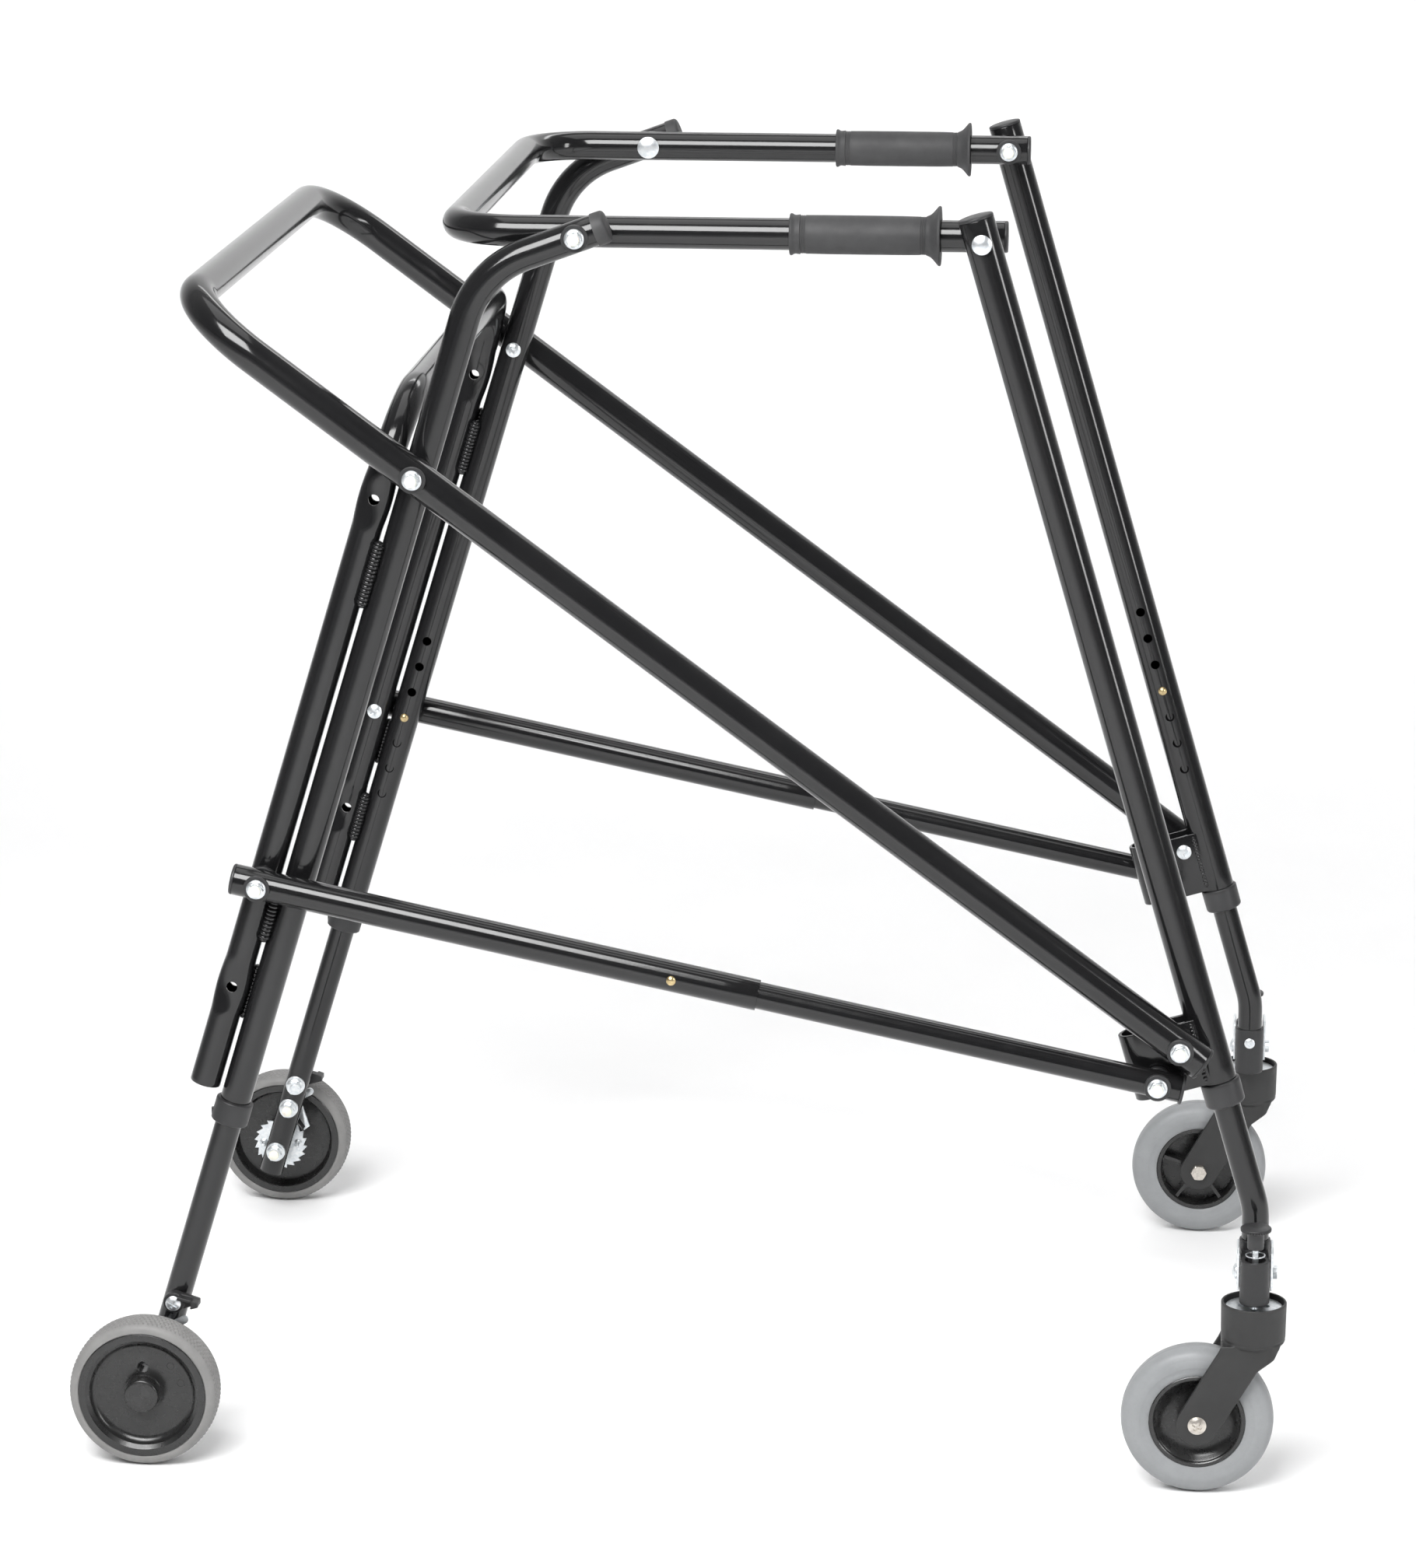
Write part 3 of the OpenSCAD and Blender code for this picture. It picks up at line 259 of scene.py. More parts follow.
def shade(obj, angle):
    obj.data.polygons.foreach_set("use_smooth", [True] * len(obj.data.polygons))
    obj.data.set_sharp_from_angle(angle=math.radians(angle))
    obj.data.update()


def bake(obj, smooth=38.0):
    """Applies the modifiers."""
    graph = bpy.context.evaluated_depsgraph_get()
    mesh = bpy.data.meshes.new_from_object(obj.evaluated_get(graph))
    obj.modifiers.clear()
    obj.data = mesh
    shade(obj, smooth)
    return obj


def bevel(obj, width, segments=3, angle=30.0, smooth=38.0):
    mod = obj.modifiers.new("bevel", "BEVEL")
    mod.width = width / 1000
    mod.segments = segments
    mod.limit_method = "ANGLE"
    mod.angle_limit = math.radians(angle)
    return bake(obj, smooth)


def boolean(obj, part, s=1, smooth=38.0):
    """Cuts another part out of a piece; bores are cut this way."""
    tool = link(obj.name + "_tool", part, (), s=s)
    mod = obj.modifiers.new("boolean", "BOOLEAN")
    mod.operation = "DIFFERENCE"
    mod.solver = "EXACT"
    mod.object = tool
    bpy.context.view_layer.update()
    bake(obj, smooth)
    bpy.data.objects.remove(tool)
    return obj


def moulded(obj, voxel, rounds, smooth=60.0):
    """Melts a rough assembly of shapes into one skin with soft edges, as a moulding has."""
    mod = obj.modifiers.new("remesh", "REMESH")
    mod.mode = "VOXEL"
    mod.voxel_size = voxel / 1000
    soft = obj.modifiers.new("soft", "SMOOTH")
    soft.factor = 0.5
    soft.iterations = rounds
    return bake(obj, smooth)


def keep(obj, body, slot, *nodes):
    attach(obj, body)
    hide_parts(*nodes)
    return obj


SIDES = (("left", 1), ("right", -1))

# ---------------------------------------------------------------- materials

class Shader:
    """Small helper for a procedural material. Texture coordinates are metres in the row frame."""

    def __init__(self, name):
        self.mat = bpy.data.materials.new(name)
        self.mat.use_nodes = True
        self.tree = self.mat.node_tree
        self.bsdf = self.tree.nodes["Principled BSDF"]
        self.coord = self.tree.nodes.new("ShaderNodeTexCoord").outputs["Object"]

    def node(self, kind, values=(), **settings):
        n = self.tree.nodes.new("ShaderNode" + kind)
        for key, value in settings.items():
            setattr(n, key, value)
        for key, value in dict(values).items():
            if hasattr(value, "links"):
                self.tree.links.new(value, n.inputs[key])
            else:
                n.inputs[key].default_value = value
        return n

    def noise(self, scale, detail=3.0, rough=0.6, stretch=(1, 1, 1)):
        at = self.node("Mapping", {"Vector": self.coord, "Scale": stretch}).outputs[0]
        return self.node("TexNoise", {"Vector": at, "Scale": scale, "Detail": detail,
                                      "Roughness": rough}).outputs["Fac"]

    def ramp(self, fac, low, high, to_low=0.0, to_high=1.0):
        return self.node("MapRange", {"Value": fac, "From Min": low, "From Max": high,
                                      "To Min": to_low, "To Max": to_high}).outputs["Result"]

    def math(self, op, a, b=0.0):
        return self.node("Math", {0: a, 1: b}, operation=op).outputs[0]

    def mix(self, fac, a, b):
        n = self.node("Mix", {"Factor": fac}, data_type="RGBA")
        for i, value in ((6, a), (7, b)):
            if hasattr(value, "links"):
                self.tree.links.new(value, n.inputs[i])
            else:
                n.inputs[i].default_value = (*value, 1)
        return n.outputs[2]

    def edges(self, low=0.52, high=0.62):
        return self.ramp(self.node("NewGeometry").outputs["Pointiness"], low, high)

    def up(self):
        """1 on faces that look up, where dust lies."""
        z = self.node("SeparateXYZ", {0: self.node("NewGeometry").outputs["Normal"]}).outputs[2]
        return self.ramp(z, 0.35, 1.0)

    def set(self, **values):
        for key, value in values.items():
            key = key.replace("_", " ")
            if hasattr(value, "links"):
                self.tree.links.new(value, self.bsdf.inputs[key])
            else:
                self.bsdf.inputs[key].default_value = (*value, 1) if isinstance(value, tuple) else value
        return self

    def bump(self, *layers):
        """Each layer is (height, strength, distance in mm); coarse ones first."""
        normal = None
        for height, strength, distance in layers:
            n = self.node("Bump", {"Height": height, "Strength": strength, "Distance": distance / 1000})
            if normal is not None:
                self.tree.links.new(normal, n.inputs["Normal"])
            normal = n.outputs[0]
        self.tree.links.new(normal, self.bsdf.inputs["Normal"])
        return self


def black_paint():
    """Gloss black powder coat: a slight orange peel, faint dust and rubbed spots."""
    sh = Shader("black_powder_coat")
    dust = sh.math("MULTIPLY", sh.ramp(sh.noise(38, 5, 0.7), 0.42, 0.75), sh.up())
    specks = sh.ramp(sh.noise(1500, 2, 0.5), 0.70, 0.76)
    scuff = sh.ramp(sh.noise(95, 8, 0.75, (1, 1, 0.25)), 0.62, 0.72)
    colour = sh.mix(sh.ramp(sh.noise(9, 3), 0.3, 0.7), (0.0065, 0.0065, 0.0070), (0.0095, 0.0095, 0.0100))
    colour = sh.mix(sh.math("MULTIPLY", dust, 0.035), colour, (0.22, 0.21, 0.20))
    colour = sh.mix(sh.math("MULTIPLY", specks, 0.06), colour, (0.30, 0.30, 0.29))
    colour = sh.mix(sh.math("MULTIPLY", sh.edges(0.56, 0.7), 0.10), colour, (0.10, 0.10, 0.10))
    rough = sh.math("ADD", sh.ramp(sh.noise(60, 4), 0.3, 0.7, 0.12, 0.17), sh.math("MULTIPLY", scuff, 0.08))
    sh.set(Base_Color=colour, Roughness=rough, Specular_IOR_Level=0.42, Coat_Weight=0.25,
           Coat_Roughness=0.07)
    return sh.bump((sh.noise(420, 3, 0.5), 0.07, 0.30), (sh.noise(1800, 2), 0.04, 0.06)).mat


def plastic(name, low, high, rough, grain, coat=0.0):
    """Moulded plastic with a spark-eroded grain, paler on worn edges."""
    sh = Shader(name)
    colour = sh.mix(sh.ramp(sh.noise(22, 4), 0.3, 0.7), low, high)
    colour = sh.mix(sh.math("MULTIPLY", sh.edges(), 0.18), colour, tuple(c * 2.2 + 0.02 for c in high))
    dust = sh.math("MULTIPLY", sh.ramp(sh.noise(55, 5, 0.7), 0.45, 0.8), sh.up())
    colour = sh.mix(sh.math("MULTIPLY", dust, 0.05), colour, (0.25, 0.24, 0.23))
    level = sh.math("ADD", sh.ramp(sh.noise(140, 4), 0.3, 0.7, rough - 0.05, rough + 0.05),
                    sh.math("MULTIPLY", sh.edges(), -0.08))
    sh.set(Base_Color=colour, Roughness=level, Specular_IOR_Level=0.5, Coat_Weight=coat,
           Coat_Roughness=0.2)
    return sh.bump((sh.noise(35, 2), 0.08, 0.5), (sh.noise(2600, 3, 0.7), grain, 0.12)).mat


def rubber():
    sh = Shader("grip_rubber")
    colour = sh.mix(sh.ramp(sh.noise(30, 5, 0.7), 0.3, 0.7), (0.032, 0.032, 0.033), (0.046, 0.046, 0.047))
    colour = sh.mix(sh.math("MULTIPLY", sh.edges(0.53, 0.6), 0.25), colour, (0.11, 0.11, 0.11))
    level = sh.ramp(sh.noise(80, 5), 0.3, 0.7, 0.52, 0.68)
    sh.set(Base_Color=colour, Roughness=level, Specular_IOR_Level=0.4)
    return sh.bump((sh.noise(60, 3), 0.10, 0.4), (sh.noise(3000, 3, 0.7), 0.22, 0.14)).mat


def plated(name, low, high, dull):
    """Bright plated steel: faint spangle, fine scratches, duller in patches."""
    sh = Shader(name)
    spangle = sh.node("TexVoronoi", {"Vector": sh.coord, "Scale": 520.0}).outputs["Color"]
    tone = sh.ramp(sh.node("SeparateColor", {0: spangle}).outputs[0], 0, 1)
    colour = sh.mix(tone, low, high)
    colour = sh.mix(sh.math("MULTIPLY", sh.ramp(sh.noise(170, 6, 0.7), 0.52, 0.8), 0.35), colour, dull)
    scratch = sh.noise(420, 6, 0.8, (1, 7, 1))
    level = sh.ramp(scratch, 0.3, 0.7, 0.26, 0.44)
    sh.set(Base_Color=colour, Metallic=0.95, Roughness=level)
    return sh.bump((sh.noise(300, 4), 0.10, 0.2), (scratch, 0.10, 0.05)).mat


def brass():
    sh = Shader("brass")
    colour = sh.mix(sh.ramp(sh.noise(260, 5), 0.35, 0.7), (0.62, 0.49, 0.26), (0.44, 0.34, 0.19))
    sh.set(Base_Color=colour, Metallic=0.95, Roughness=sh.ramp(sh.noise(600, 5), 0.3, 0.7, 0.24, 0.4))
    return sh.bump((sh.noise(1400, 4), 0.15, 0.05)).mat


def cream():
    sh = Shader("cream_cap")
    colour = sh.mix(sh.ramp(sh.noise(210, 4), 0.3, 0.7), (0.74, 0.73, 0.64), (0.80, 0.79, 0.71))
    sh.set(Base_Color=colour, Roughness=sh.ramp(sh.noise(400, 3), 0.3, 0.7, 0.30, 0.42),
           Subsurface_Weight=0.12, Subsurface_Scale=0.002)
    return sh.bump((sh.noise(700, 3), 0.08, 0.08)).mat


def tyre(name, low, high, rough, grain):
    """Grey non-marking rubber with a dusty bloom, rubbed-in dirt and painted shade in its hollows."""
    sh = Shader(name)
    colour = sh.mix(sh.ramp(sh.noise(45, 6, 0.65), 0.3, 0.7), low, high)
    dirt = sh.ramp(sh.noise(150, 7, 0.75), 0.58, 0.8)
    colour = sh.mix(sh.math("MULTIPLY", dirt, 0.35), colour, tuple(c * 0.66 for c in low))
    # painted shade: the rubber is darkened in its hollows and creases, where the pointiness is low
    painted_hollow_shade = sh.ramp(sh.node("NewGeometry").outputs["Pointiness"], 0.40, 0.48, 1, 0)
    colour = sh.mix(sh.math("MULTIPLY", painted_hollow_shade, 0.5), colour, tuple(c * 0.55 for c in low))
    level = sh.ramp(sh.noise(220, 5), 0.3, 0.7, rough - 0.07, rough + 0.07)
    sh.set(Base_Color=colour, Roughness=level, Specular_IOR_Level=0.4)
    return sh.bump((sh.noise(90, 4), 0.10, 0.4), (sh.noise(1900, 4, 0.7), grain, 0.15)).mat


PAINT = black_paint()
SOFT_BLACK = plastic("black_plastic", (0.016, 0.016, 0.017), (0.022, 0.022, 0.023), 0.46, 0.22)
FORK_BLACK = plastic("fork_plastic", (0.018, 0.018, 0.018), (0.024, 0.024, 0.024), 0.52, 0.28)
GLOSS_BLACK = plastic("hub_plastic", (0.010, 0.010, 0.010), (0.014, 0.014, 0.014), 0.28, 0.08, 0.2)
RUBBER, BRASS, CREAM = rubber(), brass(), cream()
ZINC = plated("zinc_plate", (0.68, 0.72, 0.75), (0.84, 0.86, 0.87), (0.55, 0.57, 0.57))
STEEL = plated("stainless_steel", (0.56, 0.52, 0.47), (0.70, 0.66, 0.60), (0.45, 0.42, 0.38))
FRONT_TYRE = tyre("grey_tyre", (0.236, 0.244, 0.250), (0.278, 0.286, 0.292), 0.44, 0.10)
REAR_TYRE = tyre("treaded_tyre", (0.186, 0.184, 0.181), (0.232, 0.229, 0.224), 0.52, 0.30)

# ---------------------------------------------------------------- fasteners

def hexagon(flat_r, core):
    """Lathe modifier: everything outside the core radius becomes a hexagon."""
    def radii(h, r, a):
        limit = flat_r / np.cos(np.mod(a, math.pi / 3) - math.pi / 6)
        return np.minimum(limit, r) if r > core else np.full_like(a, r)
    return radii


def nut(part, p, y, facing, cap=True):
    """Flanged hexagon nut on a bolt's end, with a cream cap pushed on."""
    axis, o = Y * facing, at(p, y)
    part.lathe(o, axis, [(0, 4)] + arc(0.7, 7.4, 0.7, -90, 40, 5) + [(2.1, 6.6), (2.1, 4)], 48)
    part.lathe(o, axis, [(1.4, 4), (1.4, 6.95), (5.2, 6.95), (5.8, 6.5), (6.2, 5.9), (6.2, 4)], 96,
               mod=hexagon(6.0, 5))
    part.lathe(o, axis, [(0, 0), (0, 4), (6.4, 4), (7.0, 3.4), (7.0, 0)], 32)
    if cap:
        skirt = [(5.2, 4.7), (6.0, 4.75)] + arc(7.6, 3.7, 1.05, 0, 60, 5) + dome(3.6, 8.5, 1.0)[2:]
        part.lathe(o, axis, [(5.2, 0)] + skirt, 40, mat=1)


def pan_head(part, p, y, facing, r=6.7, h=3.2):
    """Domed head with a cross recess: four tapered slots that lower the dome."""
    u, v, w = basis(Y * facing, Z)
    o, turn = at(p, y), math.radians(28)
    depth, slot_half, slot_end, rim = 1.9, 0.16 * r, 0.56 * r, 0.9
    ball = (r * r + (h - rim) ** 2) / (2 * (h - rim))
    rings = []
    for i, radius in enumerate([r, r, r * 0.96] + list(np.linspace(r * 0.9, 0, 34))):
        level = (0.0, rim)[i] if i < 2 else h - ball + math.sqrt(ball * ball - radius * radius)
        ring = []
        for t in np.arange(96) * 2 * math.pi / 96:
            near, far = sorted((abs(radius * math.cos(t - turn)), abs(radius * math.sin(t - turn))))
            cut = depth * (1 - 0.5 * far / slot_end) if i > 2 and near < slot_half and far < slot_end else 0.0
            ring.append(o + u * (radius * math.cos(t)) + v * (radius * math.sin(t)) + w * (level - cut))
        rings.append(ring)
    part.rings(rings)


def button_head(part, p, y, facing, r, h):
    profile = [(0, 0), (0, r - 0.4), (0.4, r), (1.0, r)] + dome(r, 1.0, h - 1.0)[1:]
    part.lathe(at(p, y), Y * facing, profile, 48)


def ring_washer(part, p, y0, y1, r=11.0):
    part.lathe(at(p, y0), Y, washer(r, BORE_R, 0, y1 - y0, 0.7), 56)


def saddle(part, p, y0, y1, r, r2=None):
    """Plastic spacer between a tube and what is bolted to it."""
    part.lathe(at(p, y0), Y, [(0, BORE_R), (0, r - 0.6), (0.6, r), (y1 - y0 - 0.6, r2 or r),
                              (y1 - y0, (r2 or r) - 0.6), (y1 - y0, BORE_R)], 56)


def rod(part, origin, axis, r, length, n):
    """Plain cylinder: a bolt's shank, a pin, or the tool that drills a hole."""
    part.lathe(origin, axis, [(0, 0), (0, r), (length, r), (length, 0)], n)
    return part


def shank(part, p, y0, y1, r=BOLT_R):
    rod(part, at(p, y0), Y, r, y1 - y0, 24)


def weld(part, a, b, r, side, squeeze):
    """A bead of overlapping ripples from a to b."""
    a, b = np.asarray(a, float), np.asarray(b, float)
    length = float(np.linalg.norm(b - a))
    count = max(4, int(length / 3.3))
    steps = count * 8
    d = unit(b - a)
    pts, radii = [], []
    for i in range(steps + 1):
        t = i / steps
        ripple = abs(math.sin(math.pi * (t * count))) ** 0.6
        end = min(1.0, math.sqrt(max(0.02, min(t, 1 - t) * count / 1.2)))
        wander = 0.25 * math.sin(t * count * 1.7) + 0.15 * math.sin(t * count * 0.61 + 2)
        pts.append(a + d * length * t + np.asarray(side) * wander * squeeze)
        radii.append(r * end * (0.78 + 0.25 * ripple))
    part.sweep(pts, [d] * len(pts), side, radii, n=20)


def tube(name, points, bend_r, ro, ri, body, nodes, cuts=None, s=1, mirrored=None, dimples=()):
    """A bent tube with softened ends; cuts is a part to bore out of it."""
    p, t = path(points, bend_r, 3.0 if dimples else 30.0)
    plane = mirrored if mirrored is not None else Y
    part = Part().sweep(p, t, plane, ro, n=72, inner=ri)
    v = np.array(part.v)
    for centre, axis, radius, depth in dimples:
        rel = v - centre
        near = np.clip(1 - (np.linalg.norm(rel, axis=1) / radius) ** 2, 0, 1) ** 1.3
        along = rel @ axis
        v -= np.outer(along * near * depth, axis)          # pressed flat from both sides
        wide = rel @ REAR_BACK
        v += np.outer(wide * near * depth * 0.45, REAR_BACK)  # and bulging fore and aft
    part.v = [tuple(q) for q in v]
    obj = link(name, part, [PAINT], 40, s)
    if cuts is not None:
        boolean(obj, cuts, s, smooth=40)
    return keep(obj, body, "black_tube", *nodes)


def plug(part, p, d, ro, long=2.6):
    """End plug of a tube, its rim standing just outside the tube."""
    profile = [(-6, 0), (-6, ro - 2.2), (0, ro - 2.2), (0, ro - 0.3), (0.3, ro + 0.15), (1.3, ro + 0.15)]
    profile += arc(1.3, ro - 1.2, 1.3, 0, 75, 5) + [(long, ro - 3), (long + 0.25, 0)]
    part.lathe(p, d, profile, 64)


def holes(origin, along, count, facing=-1, pitch=HOLE_PITCH, reach=20, r=BUTTON_HOLE_R):
    """Tool for a row of height holes, count of them on either side of the middle one."""
    part = Part()
    for k in range(-count, count + 1):
        rod(part, np.asarray(origin) + np.asarray(along) * k * pitch, Y * facing, r, reach, 32)
    return part


# ---------------------------------------------------------------- rear frame

corner_up = (HANDLE_Z - math.tan(math.radians(20)) * P2_X - WHEEL) / (
    1 - math.tan(math.radians(20)) * math.tan(RAKE)) / math.cos(RAKE)
for label, s in SIDES:
    end = REAR_TOP + TOP_DIR * 22 + Y * REAR_Y
    cuts = holes(rear(REAR_BUTTON_UP, REAR_Y), REAR_UP, 3)
    tube(f"rear_leg_{label}", [rear(235, REAR_Y), rear(corner_up, REAR_Y), end], 80, MAIN, MAIN - 1.5,
         "rear_frame", ["rear_frame"], cuts, s)

    part = Part()
    for up0, up1, out in ((686, 744, 8.5), (391, 436, 8.5), (682, 735, -8.5), (317, 366, -8.5)):
        weld(part, rear(up0, REAR_Y + out, 14.05), rear(up1, REAR_Y + out, 14.05), 5.0, Y, 0.6)
    keep(link(f"hoop_welds_{label}", part, [PAINT], 60, s), "rear_frame", "black_tube", "rear_frame")

    part = Part().lathe(rear(231, REAR_Y), REAR_UP, [(0, 11.2), (0, 14.9), (0.6, 15.5), (4, 15.6), (17, 15.6)]
                        + arc(18.2, 14.2, 1.4, 0, 80, 6) + [(20, 13.0), (20, 12.75), (4, 12.75), (4, 11.2)],
                        72, loop=True)
    x, z = rear(240)[0], rear(240)[2]
    part.box((x - 17.0, REAR_Y - 1.5, z - 5), (x - 14.6, REAR_Y + 1.5, z + 3))
    keep(link(f"rear_collar_{label}", part, [SOFT_BLACK], 40, s), "rear_frame", "black_plastic",
         "rear_leg_collars")

    cup = [(-6, MAIN + 0.06), (-6, MAIN + 0.7), (1.2, MAIN + 0.7)] + arc(1.6, MAIN - 2.4, 3.1, 10, 80, 7) + [
        (4.95, 6.0), (5.0, 0), (0.05, 0), (0.05, MAIN + 0.06)]
    part = Part().lathe(end, TOP_DIR, cup, 64, loop=True)
    keep(link(f"rear_cap_{label}", part, [RUBBER], 40, s), "rear_frame", "black_plastic", "rear_leg_caps")

    part = Part()
    button_head(part, REAR_TOP, RAIL_Y - MAIN - 0.1, -1, 9.6, 3.3)
    shank(part, REAR_TOP, RAIL_Y - MAIN - 0.1, REAR_Y + MAIN + 2)
    nut(part, REAR_TOP, REAR_Y + MAIN + 1.6, 1)
    for p, out in ((BRACE_REAR, BRACE_Y + HEAVY), (BAR_REAR, BAR_Y + MAIN)):
        pan_head(part, p, REAR_Y - MAIN, -1)
        shank(part, p, REAR_Y - MAIN, out + 3)
        nut(part, p, out + 2.2, 1)
    keep(link(f"rear_pivot_bolts_{label}", part, [ZINC, CREAM], 40, s), "rear_frame", "zinc",
         "rear_pivot_bolts")

    part = Part()
    saddle(part, REAR_TOP, RAIL_Y + MAIN + 0.1, REAR_Y - MAIN + 3.5, 10.5, 11.0)
    saddle(part, REAR_TOP, REAR_Y + MAIN - 3.5, REAR_Y + MAIN + 1.55, 11)
    saddle(part, BRACE_REAR, REAR_Y + MAIN - 3.5, BRACE_Y - HEAVY - 0.1, 11)
    saddle(part, BAR_REAR, REAR_Y + MAIN - 3.5, BAR_Y - MAIN - 0.1, 11)
    ring_washer(part, BRACE_REAR, BRACE_Y + HEAVY + 0.1, BRACE_Y + HEAVY + 2.15)
    ring_washer(part, BAR_REAR, BAR_Y + MAIN + 0.1, BAR_Y + MAIN + 2.15)
    keep(link(f"rear_pivot_washers_{label}", part, [SOFT_BLACK], 40, s), "rear_frame", "black_plastic",
         "rear_pivot_washers")

cuts, dimples = Part(), []
for sy in (1, -1):
    for up in (346.3, 774.8):
        rod(cuts, rear(up, REAR_Y * sy - 18, HOOP_BACK), Y, 4.5, 36, 40)
        dimples.append((rear(up, REAR_Y * sy, HOOP_BACK), Y, 27.0, 0.30))
hoop_side = unit(np.cross(REAR_UP, Y))
tube("hoop", [rear(257.4, -REAR_Y, HOOP_BACK), rear(857, -REAR_Y, HOOP_BACK), rear(857, REAR_Y, HOOP_BACK),
              rear(257.4, REAR_Y, HOOP_BACK)], 70, MAIN, MAIN - 1.5, "rear_frame", ["rear_frame"], cuts,
     mirrored=hoop_side, dimples=dimples)

# ---------------------------------------------------------------- handlebar

front_x, rear_x = P1_X + 16.5, P2_X - 105
tube("handlebar_tube", [(front_x, -RAIL_Y, HANDLE_Z), (rear_x, -RAIL_Y, HANDLE_Z), (rear_x, RAIL_Y, HANDLE_Z),
                        (front_x, RAIL_Y, HANDLE_Z)], 55, MAIN, MAIN - 1.5, "handlebar", ["handlebar"],
     mirrored=Z)
for label, s in SIDES:
    profile = [(0.05, MAIN + 0.06), (0.05, 15.9)] + arc(1.1, 15.6, 1.1, -90, 20, 5)
    profile += [(2.3, 16.4), (3.4, 15.6), (4.8, 15.35), (6.6, 15.6), (8.2, 15.75)]
    for k in range(3):                         # rings at both ends of the middle part
        h = 8.6 + k * 1.5
        profile += [(h, 15.2), (h + 0.35, 14.85), (h + 0.8, 14.85), (h + 1.1, 15.25)]
    profile += [(13.2, 15.3), (30, 15.45), (60, 15.5), (90, 15.4), (103.6, 15.2)]
    for k in range(3):
        h = 104.0 + k * 1.5
        profile += [(h, 15.2), (h + 0.35, 14.8), (h + 0.8, 14.8), (h + 1.1, 15.2)]
    profile += [(108.7, 15.5), (109.5, 15.9), (110.6, 16.3), (112.0, 17.1), (113.6, 18.5), (115.2, 20.3),
                (116.6, 22.0), (117.6, 23.2), (118.3, 23.7), (119.0, 23.75), (119.6, 23.5), (119.95, 22.9),
                (119.9, 21.0), (118.6, 16.0), (118.6, MAIN + 0.06)]
    part = Part().lathe((P2_X + 167.4, RAIL_Y, HANDLE_Z), X, profile, 96, loop=True)
    keep(link(f"grip_{label}", part, [RUBBER], 50, s), "handlebar", "grip_rubber", "hand_grips")
    part = Part()
    plug(part, (front_x, RAIL_Y, HANDLE_Z), X, MAIN - 0.2)
    keep(link(f"rail_plug_{label}", part, [SOFT_BLACK], 40, s), "handlebar", "black_plastic",
         "handlebar_caps")

# ---------------------------------------------------------------- front legs

for label, s in SIDES:
    cuts = holes(front(FRONT_BUTTON_DOWN, FRONT_Y), FRONT_DOWN, 3)
    tube(f"front_leg_tube_{label}", [front(-18.7, FRONT_Y), front(728, FRONT_Y)], 1, HEAVY, HEAVY - 1.6,
         "front_frame", [f"front_leg_{label}"], cuts, s)

    # hairpin gusset: outline in the plane square to the leg, thickened along it
    bend_at, half, t = 69.6 - 13, 13.0, 3.0
    turn = np.linspace(0, math.pi, 21)
    outline = [(5, half)] + [(bend_at + half * math.sin(a), half * math.cos(a)) for a in turn]
    outline += [(5, -half), (5, -half + t)]
    outline += [(bend_at + (half - t) * math.sin(a), -(half - t) * math.cos(a)) for a in turn]
    outline += [(5, half - t)]
    part = Part().prism(outline, front(653.3, FRONT_Y), FRONT_BACK, Y, 56.2)
    obj = bevel(link(f"gusset_{label}", part, [PAINT], s=s), 0.7, 3, 50)
    keep(obj, "front_frame", "black_tube", f"front_leg_{label}")

    part = Part()
    for side in (1, -1):
        y = FRONT_Y + side * 11.4
        weld(part, front(654.5, y, 9.5), front(708.5, y, 9.5), 2.6, Y, 0.3)
    for p in (BRACE_FRONT, BAR_FRONT):
        part.lathe(at(p, FRONT_Y + 12.9), Y, [(0, 4.1), (0, 9), (0.35, 8.6), (0.35, 4.1)], 48)
    keep(link(f"gusset_welds_{label}", part, [PAINT], 60, s), "front_frame", "black_tube",
         f"front_leg_{label}")

    part = Part()
    plug(part, front(-18.7, FRONT_Y), -FRONT_DOWN, HEAVY - 0.2, long=3.0)
    keep(link(f"front_leg_cap_{label}", part, [SOFT_BLACK], 40, s), "front_frame", "black_plastic",
         "front_leg_caps")

    profile = [(0, 14.35), (0, 15.2)] + arc(1.4, 15.0, 1.4, -80, 0, 6) + [(3.2, 16.4), (18.6, 16.2)]
    profile += arc(18.6, 13.8, 2.4, 0, 85, 6) + [(21, 11.3), (17.1, 11.3), (17.1, 14.35)]
    part = Part().lathe(front(711, FRONT_Y), FRONT_DOWN, profile, 80, loop=True)
    keep(link(f"front_collar_{label}", part, [SOFT_BLACK], 40, s), "front_frame", "black_plastic",
         "front_leg_collars")

    part = Part()
    button_head(part, FRONT_TOP, FRONT_Y + HEAVY + 1, 1, 7.9, 3.6)
    shank(part, FRONT_TOP, RAIL_Y - MAIN - 4, FRONT_Y + HEAVY + 1)
    nut(part, FRONT_TOP, RAIL_Y - MAIN - 2.2, -1)
    for p in (BRACE_FRONT, BAR_FRONT):
        pan_head(part, p, FRONT_Y - 13, -1)
        shank(part, p, FRONT_Y - 13, FRONT_Y + 14.4)
    keep(link(f"front_pivot_bolts_{label}", part, [ZINC, CREAM], 40, s), "front_frame", "zinc",
         "front_pivot_bolts")

    part = Part()
    saddle(part, FRONT_TOP, RAIL_Y + MAIN + 0.1, FRONT_Y - HEAVY + 3.5, 10.5, 11.0)
    saddle(part, FRONT_TOP, FRONT_Y + HEAVY - 3.5, FRONT_Y + HEAVY + 0.95, 7.6)
    ring_washer(part, FRONT_TOP, RAIL_Y - MAIN - 2.15, RAIL_Y - MAIN - 0.1)
    keep(link(f"front_pivot_washers_{label}", part, [SOFT_BLACK], 40, s), "front_frame", "black_plastic",
         "front_pivot_washers")

# ---------------------------------------------------------------- diagonal brace and lower bars

